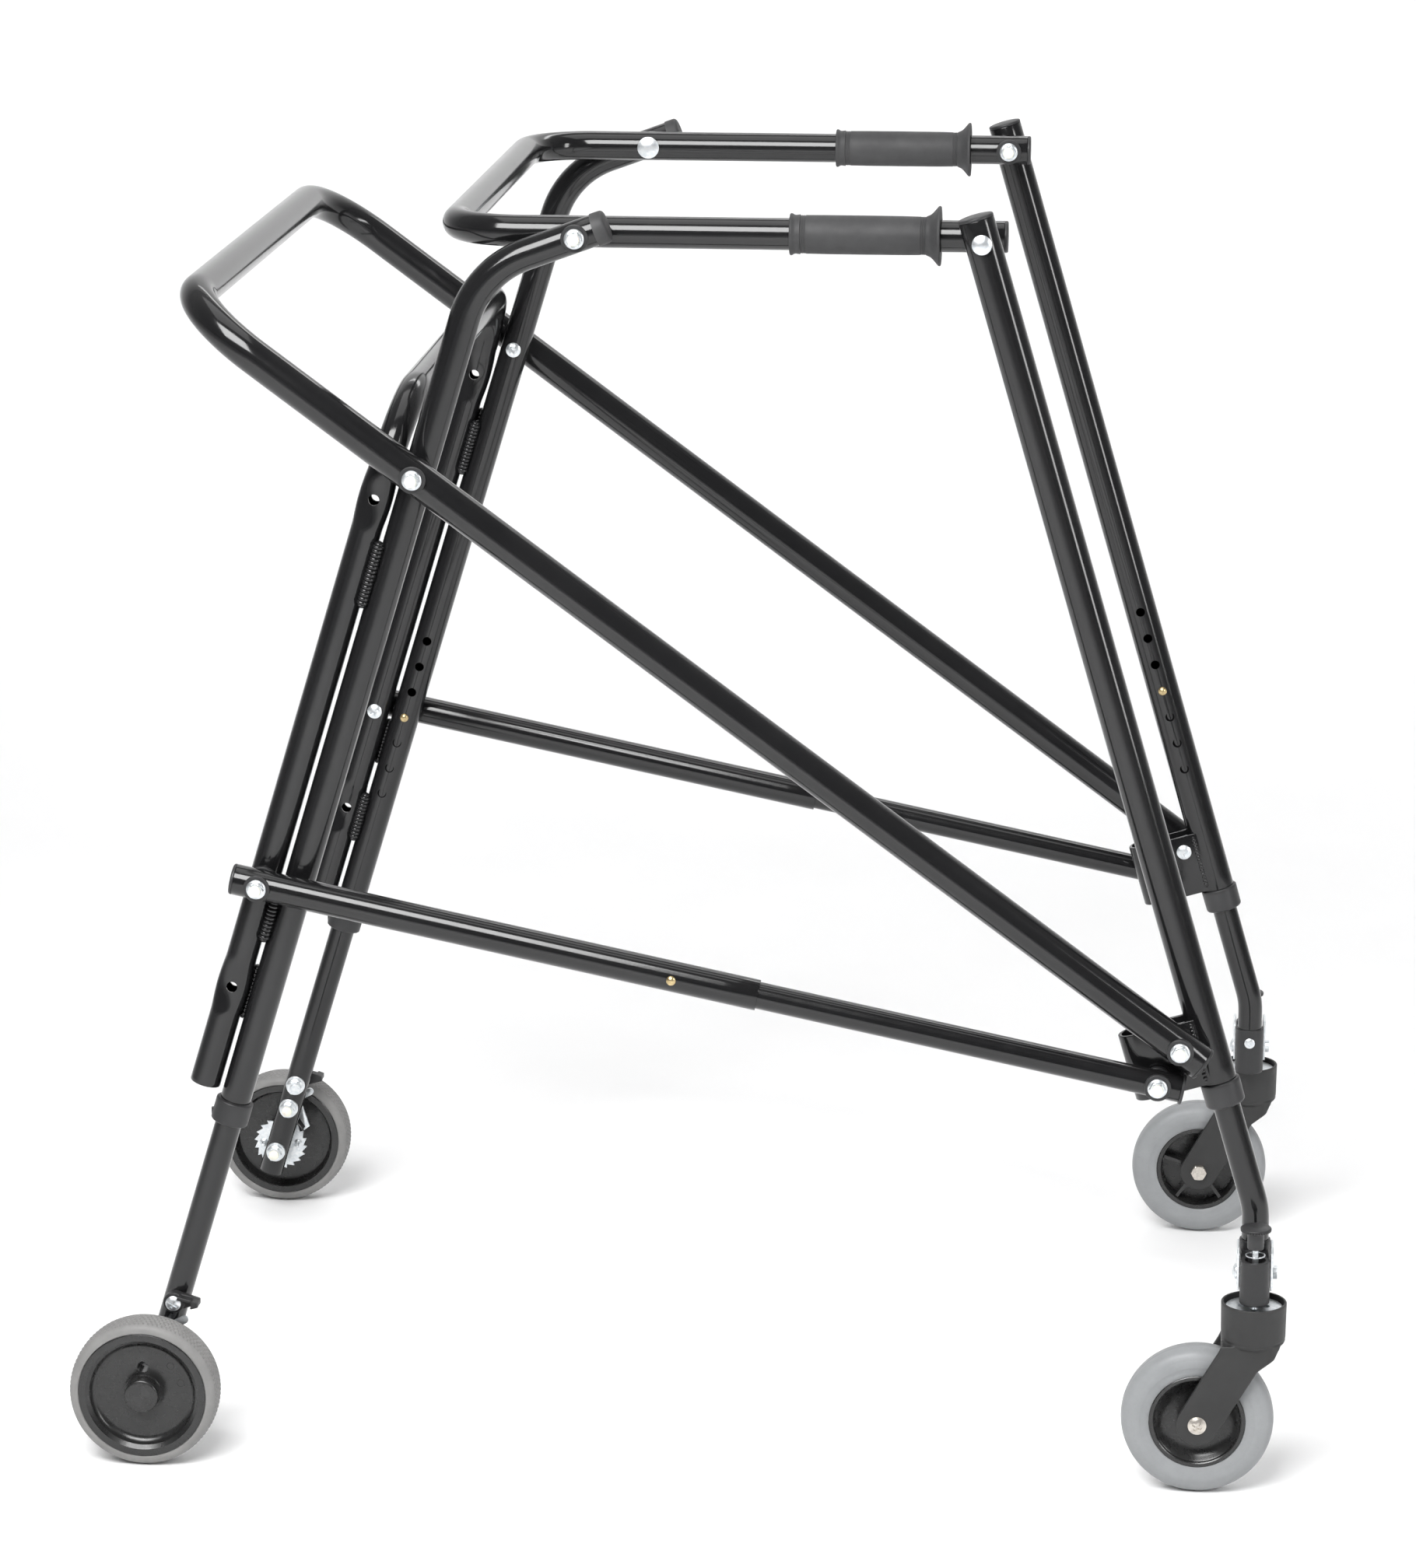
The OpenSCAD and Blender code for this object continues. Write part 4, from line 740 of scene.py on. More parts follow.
nose, tail = BRACE_FRONT + BRACE_DIR * 21, BRACE_REAR - BRACE_DIR * 228
brace_side = unit(np.cross(BRACE_DIR, Y))
tube("brace_tube", [nose - Y * BRACE_Y, tail - Y * BRACE_Y, tail + Y * BRACE_Y, nose + Y * BRACE_Y], 70,
     HEAVY, HEAVY - 1.6, "brace", ["brace_frame"], mirrored=brace_side)
for label, s in SIDES:
    part = Part()
    plug(part, nose + Y * BRACE_Y, BRACE_DIR, HEAVY - 0.2)
    saddle(part, BRACE_FRONT, 313.4, BRACE_Y - HEAVY + 3.5, 11)
    saddle(part, BRACE_FRONT, BRACE_Y + HEAVY - 3.5, BRACE_Y + HEAVY + 1.55, 11)
    keep(link(f"brace_fittings_{label}", part, [SOFT_BLACK], 40, s), "brace", "black_plastic",
         "brace_end_fittings")
    part = Part()
    shank(part, BRACE_FRONT, 313.4, BRACE_Y + HEAVY + 3)
    nut(part, BRACE_FRONT, BRACE_Y + HEAVY + 1.6, 1)
    keep(link(f"brace_nut_{label}", part, [ZINC, CREAM], 40, s), "brace", "zinc", "brace_nuts")

    cuts = holes(bar(BAR_BUTTON), BAR_DIR, 0, 1)
    tube(f"lower_bar_outer_{label}", [bar(-20.5), bar(416)], 1, MAIN, 11.2, "lower_bars_rear",
         ["lower_bars_outer"], cuts, s)
    part = Part()
    plug(part, bar(-20.5), -BAR_DIR, MAIN - 0.2)
    keep(link(f"lower_bar_rear_cap_{label}", part, [SOFT_BLACK], 40, s), "lower_bars_rear", "black_plastic",
         "lower_bar_rear_caps")
    tube(f"lower_bar_inner_{label}", [bar(318), bar(BAR_SPAN + 19)], 1, INNER, INNER - 1.5,
         "lower_bars_front", ["lower_bars_inner"], cuts, s)
    part = Part()
    plug(part, bar(BAR_SPAN + 19), BAR_DIR, INNER + 1.2)
    saddle(part, BAR_FRONT, 313.4, BAR_Y - INNER + 3.5, 11)
    saddle(part, BAR_FRONT, BAR_Y + INNER - 3.5, BAR_Y + INNER + 1.55, 11)
    keep(link(f"lower_bar_fittings_{label}", part, [SOFT_BLACK], 40, s), "lower_bars_front", "black_plastic",
         "lower_bar_end_fittings")
    part = Part()
    shank(part, BAR_FRONT, 313.4, BAR_Y + INNER + 3)
    nut(part, BAR_FRONT, BAR_Y + INNER + 1.6, 1)
    keep(link(f"lower_bar_nut_{label}", part, [ZINC, CREAM], 40, s), "lower_bars_front", "zinc",
         "lower_bar_nuts")

# ---------------------------------------------------------------- snap buttons

def snap_button(name, centre, facing, along, reach, s):
    part = Part().lathe(centre, Y * facing, [(4.6, 0), (4.6, 3.9), (reach + 0.7, 3.9)]
                        + dome(3.9, reach + 0.9, 1.9), 40)
    u, v, w = np.asarray(along), np.cross(Y * facing, along), Y * facing
    part.prism([(-4, -3), (30, -3), (30, 3), (-4, 3)], centre + w * 3.8, u, v, 0.8)
    keep(link(name, part, [BRASS], 40, s), name, "brass", name)


for label, s in SIDES:
    snap_button(f"bar_button_{label}", bar(BAR_BUTTON), 1, BAR_DIR, MAIN, s)
    snap_button(f"rear_button_{label}", rear(REAR_BUTTON_UP, REAR_Y), -1, -REAR_UP, MAIN, s)
    snap_button(f"front_button_{label}", front(FRONT_BUTTON_DOWN, FRONT_Y), -1, FRONT_DOWN, HEAVY, s)

# ---------------------------------------------------------------- rear feet and wheels

def leg_plane(p):
    """Point of the leg's own plane: forward of its centre line and up from the axle."""
    return AXLE - REAR_BACK * p[0] + REAR_UP * p[1]


def lever_plate(part, y, t, outline):
    pts = [leg_plane((q[0], LEVER_UP + q[1])) for q in outline]
    part.rings([[at(q, y) for q in pts], [at(q, y + t) for q in pts]])


def polar(r, a):
    return (r * math.cos(math.radians(a)), r * math.sin(math.radians(a)))


for label, s in SIDES:
    foot = f"rear_foot_{label}"
    tube(f"rear_lower_tube_{label}", [rear(-22.5, REAR_Y), rear(460.8, REAR_Y)], 1, INNER, INNER - 1.5, foot,
         [f"rear_lower_leg_{label}"], holes(rear(REAR_BUTTON_UP, REAR_Y), REAR_UP, 0), s)

    part = Part()
    inner_face, outer_face = REAR_Y - INNER, REAR_Y + INNER
    for up, capped in ((0, True), (GUIDE_UP, True), (LEVER_UP, False)):
        p = rear(up)
        part.lathe(at(p, inner_face + 2.2) + REAR_UP * 1.0, -Y, washer(8.9, 4.05, 0, 3.55, 0.7), 56)
        nut(part, p, inner_face - 1.4, -1, cap=capped)
        shank(part, p, inner_face - 1, RATCHET_Y + RATCHET_T)
    shank(part, rear(0), RATCHET_Y, REAR_WHEEL_Y + 10)
    shank(part, rear(0), outer_face - 3, RATCHET_Y - 0.5, 7.5)
    shank(part, rear(GUIDE_UP), outer_face - 3, RATCHET_Y - 0.1, 6)
    button_head(part, rear(GUIDE_UP), RATCHET_Y + RATCHET_T + 0.9, 1, 6, 1.8)
    pan_head(part, rear(LEVER_UP), RATCHET_Y + RATCHET_T + 0.9, 1, 6.4, 3.0)
    keep(link(f"rear_axle_bolts_{label}", part, [ZINC, CREAM], 40, s), foot, "zinc",
         f"rear_axle_bolts_{label}")

    # thumb lever: boss, arm and pad melted into one moulding
    part, y0 = Part(), outer_face + 0.3
    rod(part, rear(LEVER_UP, y0), Y, 8.8, RATCHET_Y + 1.9 - y0, 48)
    lever_plate(part, y0 + 1, 4.8,
                [(0, 8.6), (13, 9.0), (20, 8.8), (21.2, 4.4), (15, 0.4), (7, -5), (0, -4)])
    lever_plate(part, y0 + 1, 14, [(14.2, 8.8), (20, 8.6), (21.0, 4.6), (15.2, 1.0)])
    lever_plate(part, y0 + 3, 10, [(2, 7.6), (16, 8.2), (16, 5.4), (2, 4.4)])
    obj = moulded(link(f"reverse_lever_{label}_skin", part, [SOFT_BLACK], s=s), 0.45, 5)
    keep(obj, f"reverse_lever_{label}", "black_plastic", f"reverse_lever_{label}")

    # pawl, turned back from the ratchet to its free position
    pawl_at, tip_r, g = 50.0, 22.9, GUIDE_UP
    arm = [polar(tip_r, pawl_at), polar(tip_r + 2.7, pawl_at + 0.3), polar(29.5, pawl_at - 0.5), (6, g + 2.4),
           (-6, g - 2.1), polar(26.2, pawl_at + 5), polar(tip_r, pawl_at + 3)]
    c7, s7 = math.cos(math.radians(7)), math.sin(math.radians(7))
    arm = [(q[0] * c7 - (q[1] - g) * s7, g + q[0] * s7 + (q[1] - g) * c7) for q in arm]
    part = Part()
    boss = [(6.5 * math.cos(a), g + 6.5 * math.sin(a)) for a in np.linspace(0, 2 * math.pi, 41)[:-1]]
    tail_end = (12.6, g + 12.6)
    tail = [(2.4, g - 2.4), (tail_end[0] + 2.4, tail_end[1] - 2.4)]
    tail += [(tail_end[0] + 3.4 * math.cos(a), tail_end[1] + 3.4 * math.sin(a))
             for a in np.linspace(-math.pi / 4, 3 * math.pi / 4, 13)]
    tail += [(-2.4, g + 2.4)]
    for i, outline in enumerate((arm, boss, tail)):
        pts = [leg_plane(q) for q in outline]
        low, high = RATCHET_Y + 0.01 * i, RATCHET_Y + RATCHET_T - 0.01 * i
        part.rings([[at(q, low) for q in pts], [at(q, high) for q in pts]])
    keep(bevel(link(f"reverse_pawl_{label}_plate", part, [ZINC], s=s), 0.25, 2, 50), f"reverse_pawl_{label}",
         "zinc", f"reverse_pawl_{label}")

    wheel = f"rear_wheel_{label}"
    # ratchet plate with two screws, and its bearing sleeve
    teeth, step = [], 18.0
    for i in range(20):
        for tip in (0, 1):
            teeth.append(polar(25.5 if tip else 21.9, pawl_at - 1.2 + (i + tip * 0.9) * step))
    pts = [leg_plane(q) for q in teeth]
    part = Part().rings([[at(q, RATCHET_Y) for q in pts], [at(q, RATCHET_Y + RATCHET_T) for q in pts]])
    obj = bevel(link(f"ratchet_{label}_plate", part, [ZINC], s=s), 0.22, 2, 50)
    obj = boolean(obj, rod(Part(), at(AXLE, RATCHET_Y - 2), Y, BORE_R, 9, 40), s)
    keep(obj, wheel, "zinc", f"ratchet_{label}")
    part = Part()
    for x in (16.5, -16.5):
        pan_head(part, AXLE + X * x, RATCHET_Y - 0.05, -1, 4.0, 2.0)
    part.lathe(at(AXLE, RATCHET_Y + 2), Y, washer(8.45, 4.05, 0, REAR_WHEEL_Y + 5.5 - RATCHET_Y, 0.3), 40)
    keep(link(f"ratchet_{label}_screws", part, [ZINC], 40, s), wheel, "zinc", f"ratchet_{label}")

    # hub: flat rim ring, sunk web, round cap; the inside is a plain dish
    outside = arc(16.4, 52.85, 0.6, 0, 90, 4) + [(17, 47.6)] + arc(15.9, 47.1, 1.1, 80, 0, 5)[1:]
    outside += [(13.6, 44.6), (11.4, 43.6), (9.7, 42.2), (8.6, 40.4), (8.1, 38.6), (8.0, 36.5)]
    outside += [(8.0, 18), (7.6, 16.6), (7.5, 15.0), (8.3, 14.35), (17.6, 14.3)]
    outside += arc(17.7, 12.1, 2.2, 0, 80, 8) + [(20.05, 10.6), (20.3, 7), (20.35, 0)]
    inside = [(-26.35, 8.55), (-26.35, 16.8), (-25.8, 17.3), (-7, 17.3), (-5.6, 18.4), (-5, 20), (-5, 41.5)]
    inside += [(-5.6, 43.6), (-8, 45.2), (-16.2, 46.6), (-17, 47.4), (-17, 52.8), (-16.4, 53.45)]
    profile = inside + [(16.4, 53.45)] + outside + [(13, 0), (13, 8.5), (-26.35, 8.5)]
    part = Part().lathe(at(AXLE, REAR_WHEEL_Y), Y, profile, 144, loop=True, hint=Z)
    hub = link(f"rear_hub_{label}_body", part, [GLOSS_BLACK], 32, s)
    marks = Part()
    for x, z in ((23.2, 23.5), (31.4, 8.8)):
        marks.lathe(AXLE + X * x + Z * z + Y * (REAR_WHEEL_Y + 7.9), Y,
                    [(0, 2.7), (0.3, 2.8), (0.32, 3.1), (0, 3.3)], 40, loop=True)
    keep(link(f"rear_hub_{label}_marks", marks, [GLOSS_BLACK], 32, s), wheel, "black_plastic",
         f"rear_hub_{label}")
    hole = rod(Part(), AXLE + Z * 22 + Y * (REAR_WHEEL_Y - 40), Y, 4.75, 70, 40)
    keep(boolean(hub, hole, s, smooth=32), wheel, "black_plastic", f"rear_hub_{label}")

    # tyre: rows of small lugs round the tread, smooth rounded sidewalls
    def lugs(h, r, a):
        row = (h + 12.2) / 24.4 * LUG_ROWS
        if not 0 <= row <= LUG_ROWS or r < 59:
            return np.full_like(a, r)
        phase = a * LUGS / (2 * math.pi) + (0.5 if int(min(row, LUG_ROWS - 1e-6)) % 2 else 0)
        round_way = np.clip((0.5 - np.abs(np.mod(phase, 1) - 0.5)) * 5.0 - 0.45, 0, 1)
        across = min(1.0, max(0.0, (0.5 - abs(row % 1 - 0.5)) * 5.0 - 0.30))
        return r - 0.75 + 0.75 * round_way * across

    crown = [(h, 62.5 - 0.0075 * h * h) for h in np.linspace(-12.2, 12.2, 55)]
    side_out = [(12.9, 61.0), (13.9, 60.3), (14.8, 59.4), (15.6, 58.2), (16.1, 57.0), (16.4, 55.8),
                (16.5, 54.6), (16.4, 53.9), (16.0, 53.52)]
    profile = [(-h, r) for h, r in side_out[::-1]] + crown + side_out
    profile = [(h, min(r, 62.5)) for h, r in profile]
    part = Part().lathe(at(AXLE, REAR_WHEEL_Y), Y, profile, 864, loop=True, mod=lugs, hint=Z)
    keep(link(f"rear_tyre_{label}_skin", part, [REAR_TYRE], 60, s), wheel, "treaded_tyre",
         f"rear_tyre_{label}")

# ---------------------------------------------------------------- front feet and casters

corner = front(233.3 / math.sin(FRONT_RAKE), FRONT_Y)
for label, s in SIDES:
    foot, caster, wheel = f"front_foot_{label}", f"caster_{label}", f"front_wheel_{label}"
    tube(f"front_lower_tube_{label}", [front(501.8, FRONT_Y), corner, (SWIVEL_X, FRONT_Y, 169)], 70, INNER,
         INNER - 1.5, foot, [f"front_lower_leg_{label}"],
         holes(front(FRONT_BUTTON_DOWN, FRONT_Y), FRONT_DOWN, 0), s)

    # head: leg socket, lock housing and the web between them
    part = Part()
    part.lathe((SWIVEL_X, FRONT_Y, 166), Z, [(0, 0), (0, 12.6), (1.2, 12.9), (42, 12.7), (42, 0)], 64)
    part.lathe((SWIVEL_X, LOCK_Y, 166), Z, [(0, 0), (0, 11.6), (1.0, 12.2), (37, 12.0), (37, 0)], 64)
    part.box((SWIVEL_X - 11.2, FRONT_Y, 166), (SWIVEL_X + 11.2, LOCK_Y, 200))
    obj = moulded(link(f"caster_head_{label}_body", part, [SOFT_BLACK], s=s), 0.5, 5)
    cuts = Part()
    rod(cuts, (SWIVEL_X, LOCK_Y, 187), Z, 8.6, 30, 48)
    rod(cuts, (SWIVEL_X, LOCK_Y, 150), Z, 2.65, 38, 24)
    keep(boolean(obj, cuts, s, smooth=50), foot, "black_plastic", f"caster_head_{label}")

    # straps, clamp bolt with nut, and the rivet on the socket
    part, clamp_y = Part(), FRONT_Y + 17.2
    for e in (-1, 1):
        x0 = SWIVEL_X + e * 13.5
        side = [(clamp_y - 9, 174), (clamp_y + 21, 176), (clamp_y + 21, 207), (clamp_y + 16, 211),
                (clamp_y - 5, 211), (clamp_y - 9, 207)]
        part.rings([[(x0 - 1.1, q[0], q[1]) for q in side], [(x0 + 1.1, q[0], q[1]) for q in side]])
    obj = bevel(link(f"head_strap_{label}", part, [ZINC], s=s), 0.5, 3, 30)
    keep(obj, foot, "zinc", f"head_clamp_{label}")
    part = Part()
    o = np.array([SWIVEL_X - 14.7, clamp_y, 185.0])
    part.lathe(o, -X, [(0, 0), (0, 6.2), (0.8, 6.2)] + dome(6.2, 0.8, 2.6)[1:], 40)
    rod(part, o, X, 3, 32, 24)
    part.lathe(o + X * 29.4, X, [(0, 3), (0, 5.6), (3.2, 5.6), (3.7, 5.0), (3.7, 3)], 72,
               mod=hexagon(4.9, 4.5))
    rivet = [(-1, 0), (-1, 4.7), (0.3, 4.8)] + dome(4.8, 0.3, 1.3)[1:6] + [(1.3, 1.5), (0.5, 1.3), (0.4, 0)]
    part.lathe((SWIVEL_X, FRONT_Y - 12.85, 196), -Y, rivet, 40)
    keep(link(f"head_bolt_{label}", part, [ZINC], 40, s), foot, "zinc", f"head_clamp_{label}")

    # swivel lock: notched knob, sleeve and pin
    def notches(h, r, a):
        if r < 11.2:
            return np.full_like(a, r)
        deep = np.clip(np.cos(a * 36) * 2.2, -1, 1) * 0.5 + 0.5
        return r - deep * (0.85 if h < 5.0 else 0.0)

    profile = [(0, 0), (0, 6.9), (1.4, 7.2), (2.5, 8.6), (3.1, 11.3), (3.4, 12.4), (4.9, 12.6), (5.1, 12.6)]
    profile += arc(5.2, 11.4, 1.2, 10, 88, 6) + [(6.9, 6), (7.1, 0)]
    part = Part().lathe((SWIVEL_X, LOCK_Y, 224.6), Z, profile, 288, mod=notches)
    part.lathe((SWIVEL_X, LOCK_Y, 212.7), Z, [(0, 0), (0, 6.3), (0.5, 6.8), (12, 6.8), (12, 0)], 48)
    keep(link(f"swivel_knob_{label}", part, [SOFT_BLACK], 30, s), f"swivel_lock_{label}", "black_plastic",
         f"swivel_lock_{label}")
    part = Part().lathe((SWIVEL_X, LOCK_Y, 160.7), Z, disc(2.6, 0, 53, 0.5), 32)
    part.lathe((SWIVEL_X, LOCK_Y, 195), Z, disc(5.0, 0, 2, 0.3), 32)
    part.lathe((SWIVEL_X, LOCK_Y, 206.6), Z, washer(8.2, 7.1, 0, 0.9, 0.3), 48, loop=True)
    keep(link(f"swivel_pin_{label}", part, [ZINC], 40, s), f"swivel_lock_{label}", "zinc",
         f"swivel_lock_{label}")

    # fork: cup, crown and two legs melted into one moulding, then the seat and the slot cut
    outline = [(SWIVEL_X - 58.8, 71.4), (SWIVEL_X - 27.9, 126), (SWIVEL_X - 25.6, 131.5),
               (SWIVEL_X + 22.5, 131.5), (SWIVEL_X + 17.5, 121), (SWIVEL_X + 4, 110.3)]
    outline += [(FRONT_AXLE[0] + 17.3 * math.cos(a), WHEEL + 17.3 * math.sin(a))
                for a in np.linspace(math.radians(-31), math.radians(-211), 24)]
    part = Part()
    for ends in ((-22, -17), (17, 22)):
        part.rings([[(q[0], SWIVEL_Y + y, q[1]) for q in outline] for y in ends])
    crown = [(SWIVEL_X - 26.5, 128.5), (SWIVEL_X - 25.6, 131.5), (SWIVEL_X + 22.5, 131.5),
             (SWIVEL_X + 21, 127.6)]
    cup = [(0, 0), (0, 22), (2.4, 25.4), (4.4, 26.3), (5.0, 25.6), (5.7, 25.6), (6.2, 26.3), (36.3, 26.75),
           (36.3, 24.4), (22.2, 24.4), (22.2, 0)]
    part.lathe((SWIVEL_X, SWIVEL_Y, 127.8), Z, cup, 96)
    chin = [(SWIVEL_X + 4, 110.3), (SWIVEL_X + 17.5, 121), (SWIVEL_X + 22.5, 131.5), (SWIVEL_X + 13, 131.5),
            (SWIVEL_X + 8, 122), (SWIVEL_X - 2, 113)]
    for block in (crown, chin):
        part.rings([[(q[0], SWIVEL_Y + y, q[1]) for q in block] for y in (-21.9, 21.9)])
    obj = moulded(link(f"caster_fork_{label}_body", part, [FORK_BLACK], s=s), 0.7, 0)
    round_off = [(26.6 * math.sin(a), 26.6 * math.cos(a)) for a in np.linspace(0, math.pi, 31)]
    round_off += [(0, -60), (60, -60), (60, 60), (0, 60)]
    corner_cut = Part().prism(round_off, (SWIVEL_X, SWIVEL_Y, 95), X, Y, 39)
    obj = moulded(boolean(obj, corner_cut, s), 0.55, 5)
    bore = rod(Part(), at(FRONT_AXLE, SWIVEL_Y - 40), Y, BORE_R, 80, 32)
    wheel_room = rod(Part(), at(FRONT_AXLE, SWIVEL_Y - 17), Y, 65.5, 34, 96)
    obj = boolean(obj, bore, s, smooth=50)
    keep(boolean(obj, wheel_room, s, smooth=50), caster, "black_plastic", f"caster_fork_{label}")

    # detent disc and king pin
    part = Part().lathe((SWIVEL_X, SWIVEL_Y, 150.05), Z, disc(23.6, 0, 9.95, 0.8), 80)
    plate = link(f"swivel_plate_{label}_disc", part, [ZINC], 40, s)
    cuts = Part()
    for i in range(4):
        turn = i * math.pi / 2
        c = np.array([SWIVEL_X + 10 * math.sin(turn), SWIVEL_Y + 10 * math.cos(turn), 152.0])
        rod(cuts, c, Z, 3, 20, 32)
    keep(boolean(plate, cuts, s), caster, "zinc", f"swivel_plate_{label}")
    part = rod(Part(), (SWIVEL_X, SWIVEL_Y, 128), Z, BOLT_R, 62.5, 32)
    keep(link(f"king_pin_{label}", part, [ZINC], 40, s), caster, "zinc", f"swivel_plate_{label}")

    part = Part()
    shank(part, FRONT_AXLE, SWIVEL_Y - 22, SWIVEL_Y + 22)
    part.lathe(at(FRONT_AXLE, SWIVEL_Y + 22), Y, washer(7.6, 3.9, 0, 0.5, 0.2), 48)
    pan_head(part, FRONT_AXLE, SWIVEL_Y + 22, 1, 7.0, 2.8)
    part.lathe(at(FRONT_AXLE, SWIVEL_Y - 22), -Y,
               [(0, 0), (0, 7.4), (3.9, 7.4), (4.5, 6.6), (4.6, 5.2), (4.3, 0)], 96, mod=hexagon(6.5, 5.5))
    keep(link(f"caster_axle_{label}_bolt", part, [STEEL], 40, s), caster, "zinc", f"caster_axle_{label}")

    # tyre: smooth, with a faint mould line round the crown and two round the sidewalls
    section = [(0, 62.5), (0.35, 62.5), (0.6, 62.35), (4, 62.3), (8, 61.6), (11, 60.0), (13.2, 57.4),
               (14.5, 54.0), (14.62, 53.4), (14.75, 53.2), (15.0, 50.2), (15.0, 47.2), (14.9, 46.9),
               (14.8, 46.7), (14.6, 43.2), (14.0, 41.0), (13.2, 39.6)]
    profile = [(-h, r) for h, r in section[::-1]][:-1] + section
    part = Part().lathe(at(FRONT_AXLE, SWIVEL_Y), Y, profile, 160, loop=True, hint=Z)
    keep(link(f"front_tyre_{label}_skin", part, [FRONT_TYRE], 60, s), wheel, "grey_tyre",
         f"front_tyre_{label}")

    # hub: a stepped bowl outside, five ribs inside
    profile = [(13.5, 39.4), (13.9, 38.9), (13.9, 36.4), (13.3, 35.6), (11.8, 35.0), (11.2, 34.2),
               (9.4, 32.4), (7.4, 29.0), (6.3, 25.0), (6.0, 20.0), (6.2, 16.0), (8.6, 13.4), (12.4, 11.9),
               (15.9, 11.3), (16.4, 10.6), (16.4, 4.05), (-16.4, 4.05), (-16.4, 10.2), (-15.9, 10.6),
               (2, 11.4), (2, 33.6), (-12.9, 35.2), (-13.5, 35.8), (-13.5, 38.9), (-13.0, 39.4)]
    part = Part().lathe(at(FRONT_AXLE, SWIVEL_Y), Y, profile, 128, loop=True, hint=Z)
    for i in range(5):
        a = math.radians(18 + 72 * i)
        u, v = X * math.cos(a) + Z * math.sin(a), -X * math.sin(a) + Z * math.cos(a)
        c = at(FRONT_AXLE, SWIVEL_Y)
        rib = [(10, -10.5), (34.6, -10.5), (34.6, 3), (10, 3)]
        part.rings([[c + u * q[0] + Y * q[1] + v * side for q in rib] for side in (-1.5, 1.5)])
    keep(link(f"front_hub_{label}_body", part, [GLOSS_BLACK], 30, s), wheel, "black_plastic",
         f"front_hub_{label}")

# ---------------------------------------------------------------- stage, lights and camera

def stage():
    """A paper sweep: a wide floor that curves up into a wall behind the frame."""
    outline = [(-16000, 0), (-3000, 0), (1600, 0)]
    outline += [(1600 + 1400 * math.sin(a), 1400 - 1400 * math.cos(a))
                for a in np.linspace(0, math.pi / 2, 24)[1:]]
    outline += [(3000, 5200)]
    n = len(outline)
    verts = [(x, y / 1000, (z - 0.6) / 1000) for x in (-16, 16) for y, z in outline]
    mesh = bpy.data.meshes.new("floor")
    mesh.from_pydata(verts, [], [(n + i, n + i + 1, i + 1, i) for i in range(n - 1)])
    sh = Shader("paper_floor")
    colour = sh.mix(sh.ramp(sh.noise(1.3, 4), 0.3, 0.7), (0.90, 0.90, 0.90), (0.93, 0.93, 0.93))
    sh.set(Base_Color=colour, Roughness=sh.ramp(sh.noise(3, 4), 0.3, 0.7, 0.75, 0.9), Specular_IOR_Level=0.2)
    sh.bump((sh.noise(900, 3), 0.04, 0.1))
    # the far floor stays pale for the camera, and the wall is clear from behind
    seen = sh.node("LightPath").outputs["Is Camera Ray"]
    away = sh.node("VectorMath", {0: sh.coord}, operation="LENGTH").outputs["Value"]
    glow = sh.math("MULTIPLY", seen, sh.ramp(away, 2.2, 7.0, 0.0, 0.5))
    sh.set(Emission_Color=(1.0, 1.0, 1.0), Emission_Strength=glow)
    behind = sh.math("MULTIPLY", seen, sh.node("NewGeometry").outputs["Backfacing"])
    clear = sh.node("BsdfTransparent").outputs[0]
    both = sh.node("MixShader", {0: behind, 1: sh.bsdf.outputs[0], 2: clear})
    sh.tree.links.new(both.outputs[0], sh.tree.nodes["Material Output"].inputs["Surface"])
    mesh.materials.append(sh.mat)
    obj = bpy.data.objects.new("floor", mesh)
    bpy.context.scene.collection.objects.link(obj)
    shade(obj, 60)


def light(name, where, toward, size, power, colour=(1, 1, 1)):
    data = bpy.data.lights.new(name, "AREA")
    data.shape = "RECTANGLE"
    data.size, data.size_y = size
    data.energy = power
    data.color = colour
    obj = bpy.data.objects.new(name, data)
    obj.location = where
    obj.rotation_euler = (Vector(toward) - Vector(where)).to_track_quat("-Z", "Y").to_euler()
    bpy.context.scene.collection.objects.link(obj)


stage()
world = bpy.data.worlds.new("studio")
bpy.context.scene.world = world
world.use_nodes = True


def world_node(kind, settings, **links):
    """A node of the world's tree, with the given values set and inputs joined to other nodes' outputs."""
    node = world.node_tree.nodes.new(kind)
    for key, value in settings.items():
        node.inputs[key].default_value = value
    for key, source in links.items():
        world.node_tree.links.new(source, node.inputs[key.replace("_", " ")])
    return node


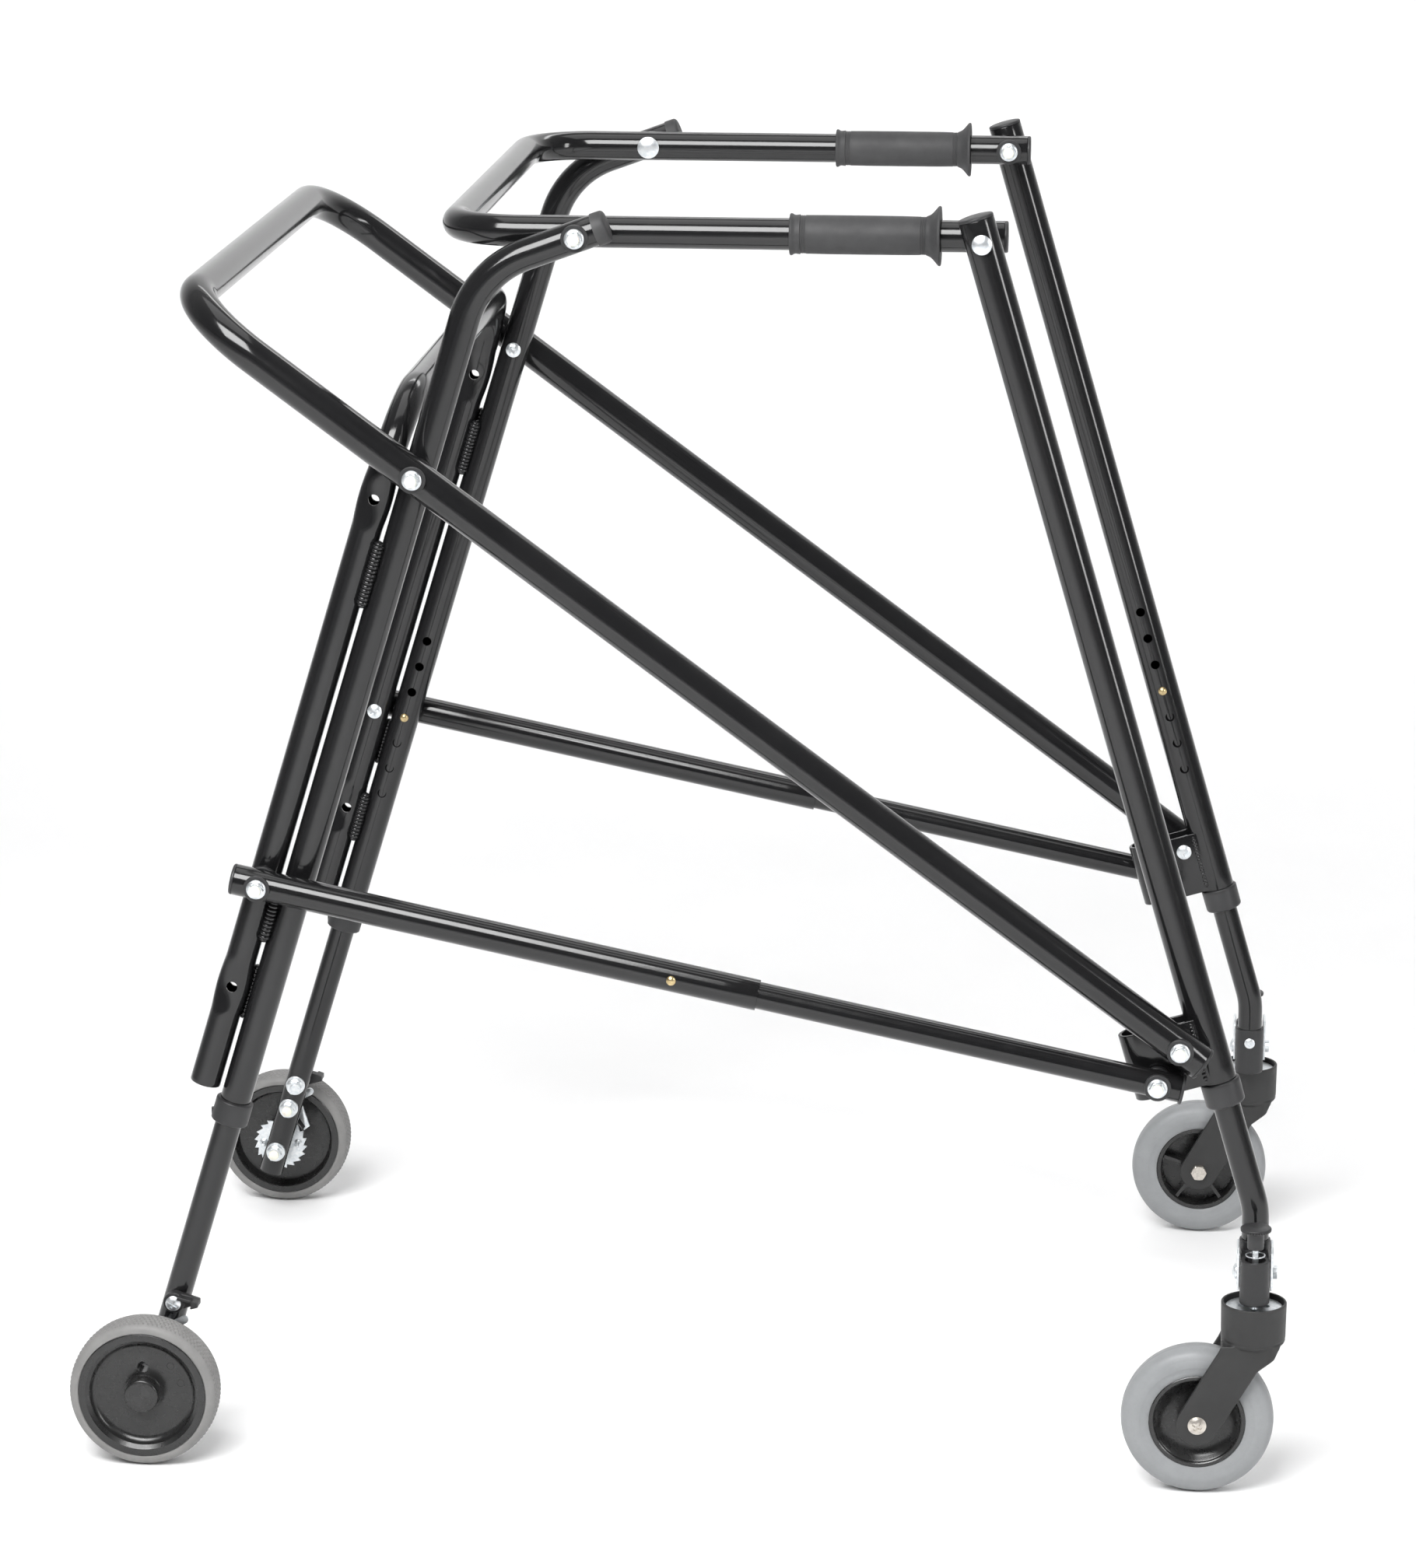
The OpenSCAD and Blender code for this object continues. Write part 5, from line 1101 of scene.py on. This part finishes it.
# dim on the viewer's side and bright behind; plain pale where the camera sees it
ray = world_node("ShaderNodeLightPath", {}).outputs
coord = world_node("ShaderNodeTexCoord", {}).outputs["Generated"]
depth = world_node("ShaderNodeSeparateXYZ", {}, Vector=coord).outputs[1]
depth = world_node("ShaderNodeMapRange", {"From Min": -1, "From Max": 1}, Value=depth).outputs[0]
tone = world_node("ShaderNodeValToRGB", {}, Fac=depth)
for stop, place, grey in zip(tone.color_ramp.elements, (0.30, 0.75), ((0.42, 0.42, 0.43, 1), (1, 1, 1, 1))):
    stop.position, stop.color = place, grey
seen = ray["Is Camera Ray"]
colour = world_node("ShaderNodeMixRGB", {"Color2": (1, 1, 1, 1)}, Fac=seen, Color1=tone.outputs[0])
level = world_node("ShaderNodeMapRange", {"To Min": 0.50, "To Max": 0.32}, Value=ray["Is Glossy Ray"])
level = world_node("ShaderNodeMapRange", {"To Max": 0.90}, Value=seen, To_Min=level.outputs[0])
background = world.node_tree.nodes["Background"]
world.node_tree.links.new(colour.outputs[0], background.inputs["Color"])
world.node_tree.links.new(level.outputs[0], background.inputs["Strength"])

light("key", (-0.8, -2.7, 3.1), (0, 0, 0.6), (2.4, 1.9), 190)
light("fill", (3.0, -1.8, 1.6), (0, 0, 0.5), (0.6, 1.9), 36)
light("back", (0.4, 3.2, 3.4), (0, 0, 0.6), (3.2, 1.4), 75)
light("top", (0, 0, 4.2), (0, 0, 0), (2.6, 2.6), 30)

camera = bpy.data.cameras.new("camera")
camera.sensor_fit, camera.sensor_width = "HORIZONTAL", 36
camera.lens = 133.63
camera.shift_x, camera.shift_y = -0.0087, 0.0043
eye = bpy.data.objects.new("camera", camera)
bpy.context.scene.collection.objects.link(eye)
look, up = unit([-0.08728, 0.96525, -0.24632]), np.array([-0.02240, 0.24530, 0.96919])
right = unit(np.cross(look, up))
up = np.cross(right, look)
eye.matrix_world = Matrix(((right[0], up[0], -look[0], (847.85 - MID_X) / 1000),
                           (right[1], up[1], -look[1], -4.40479),
                           (right[2], up[2], -look[2], 1.62431), (0, 0, 0, 1)))
bpy.context.scene.camera = eye
bpy.context.scene.view_settings.view_transform = "Standard"
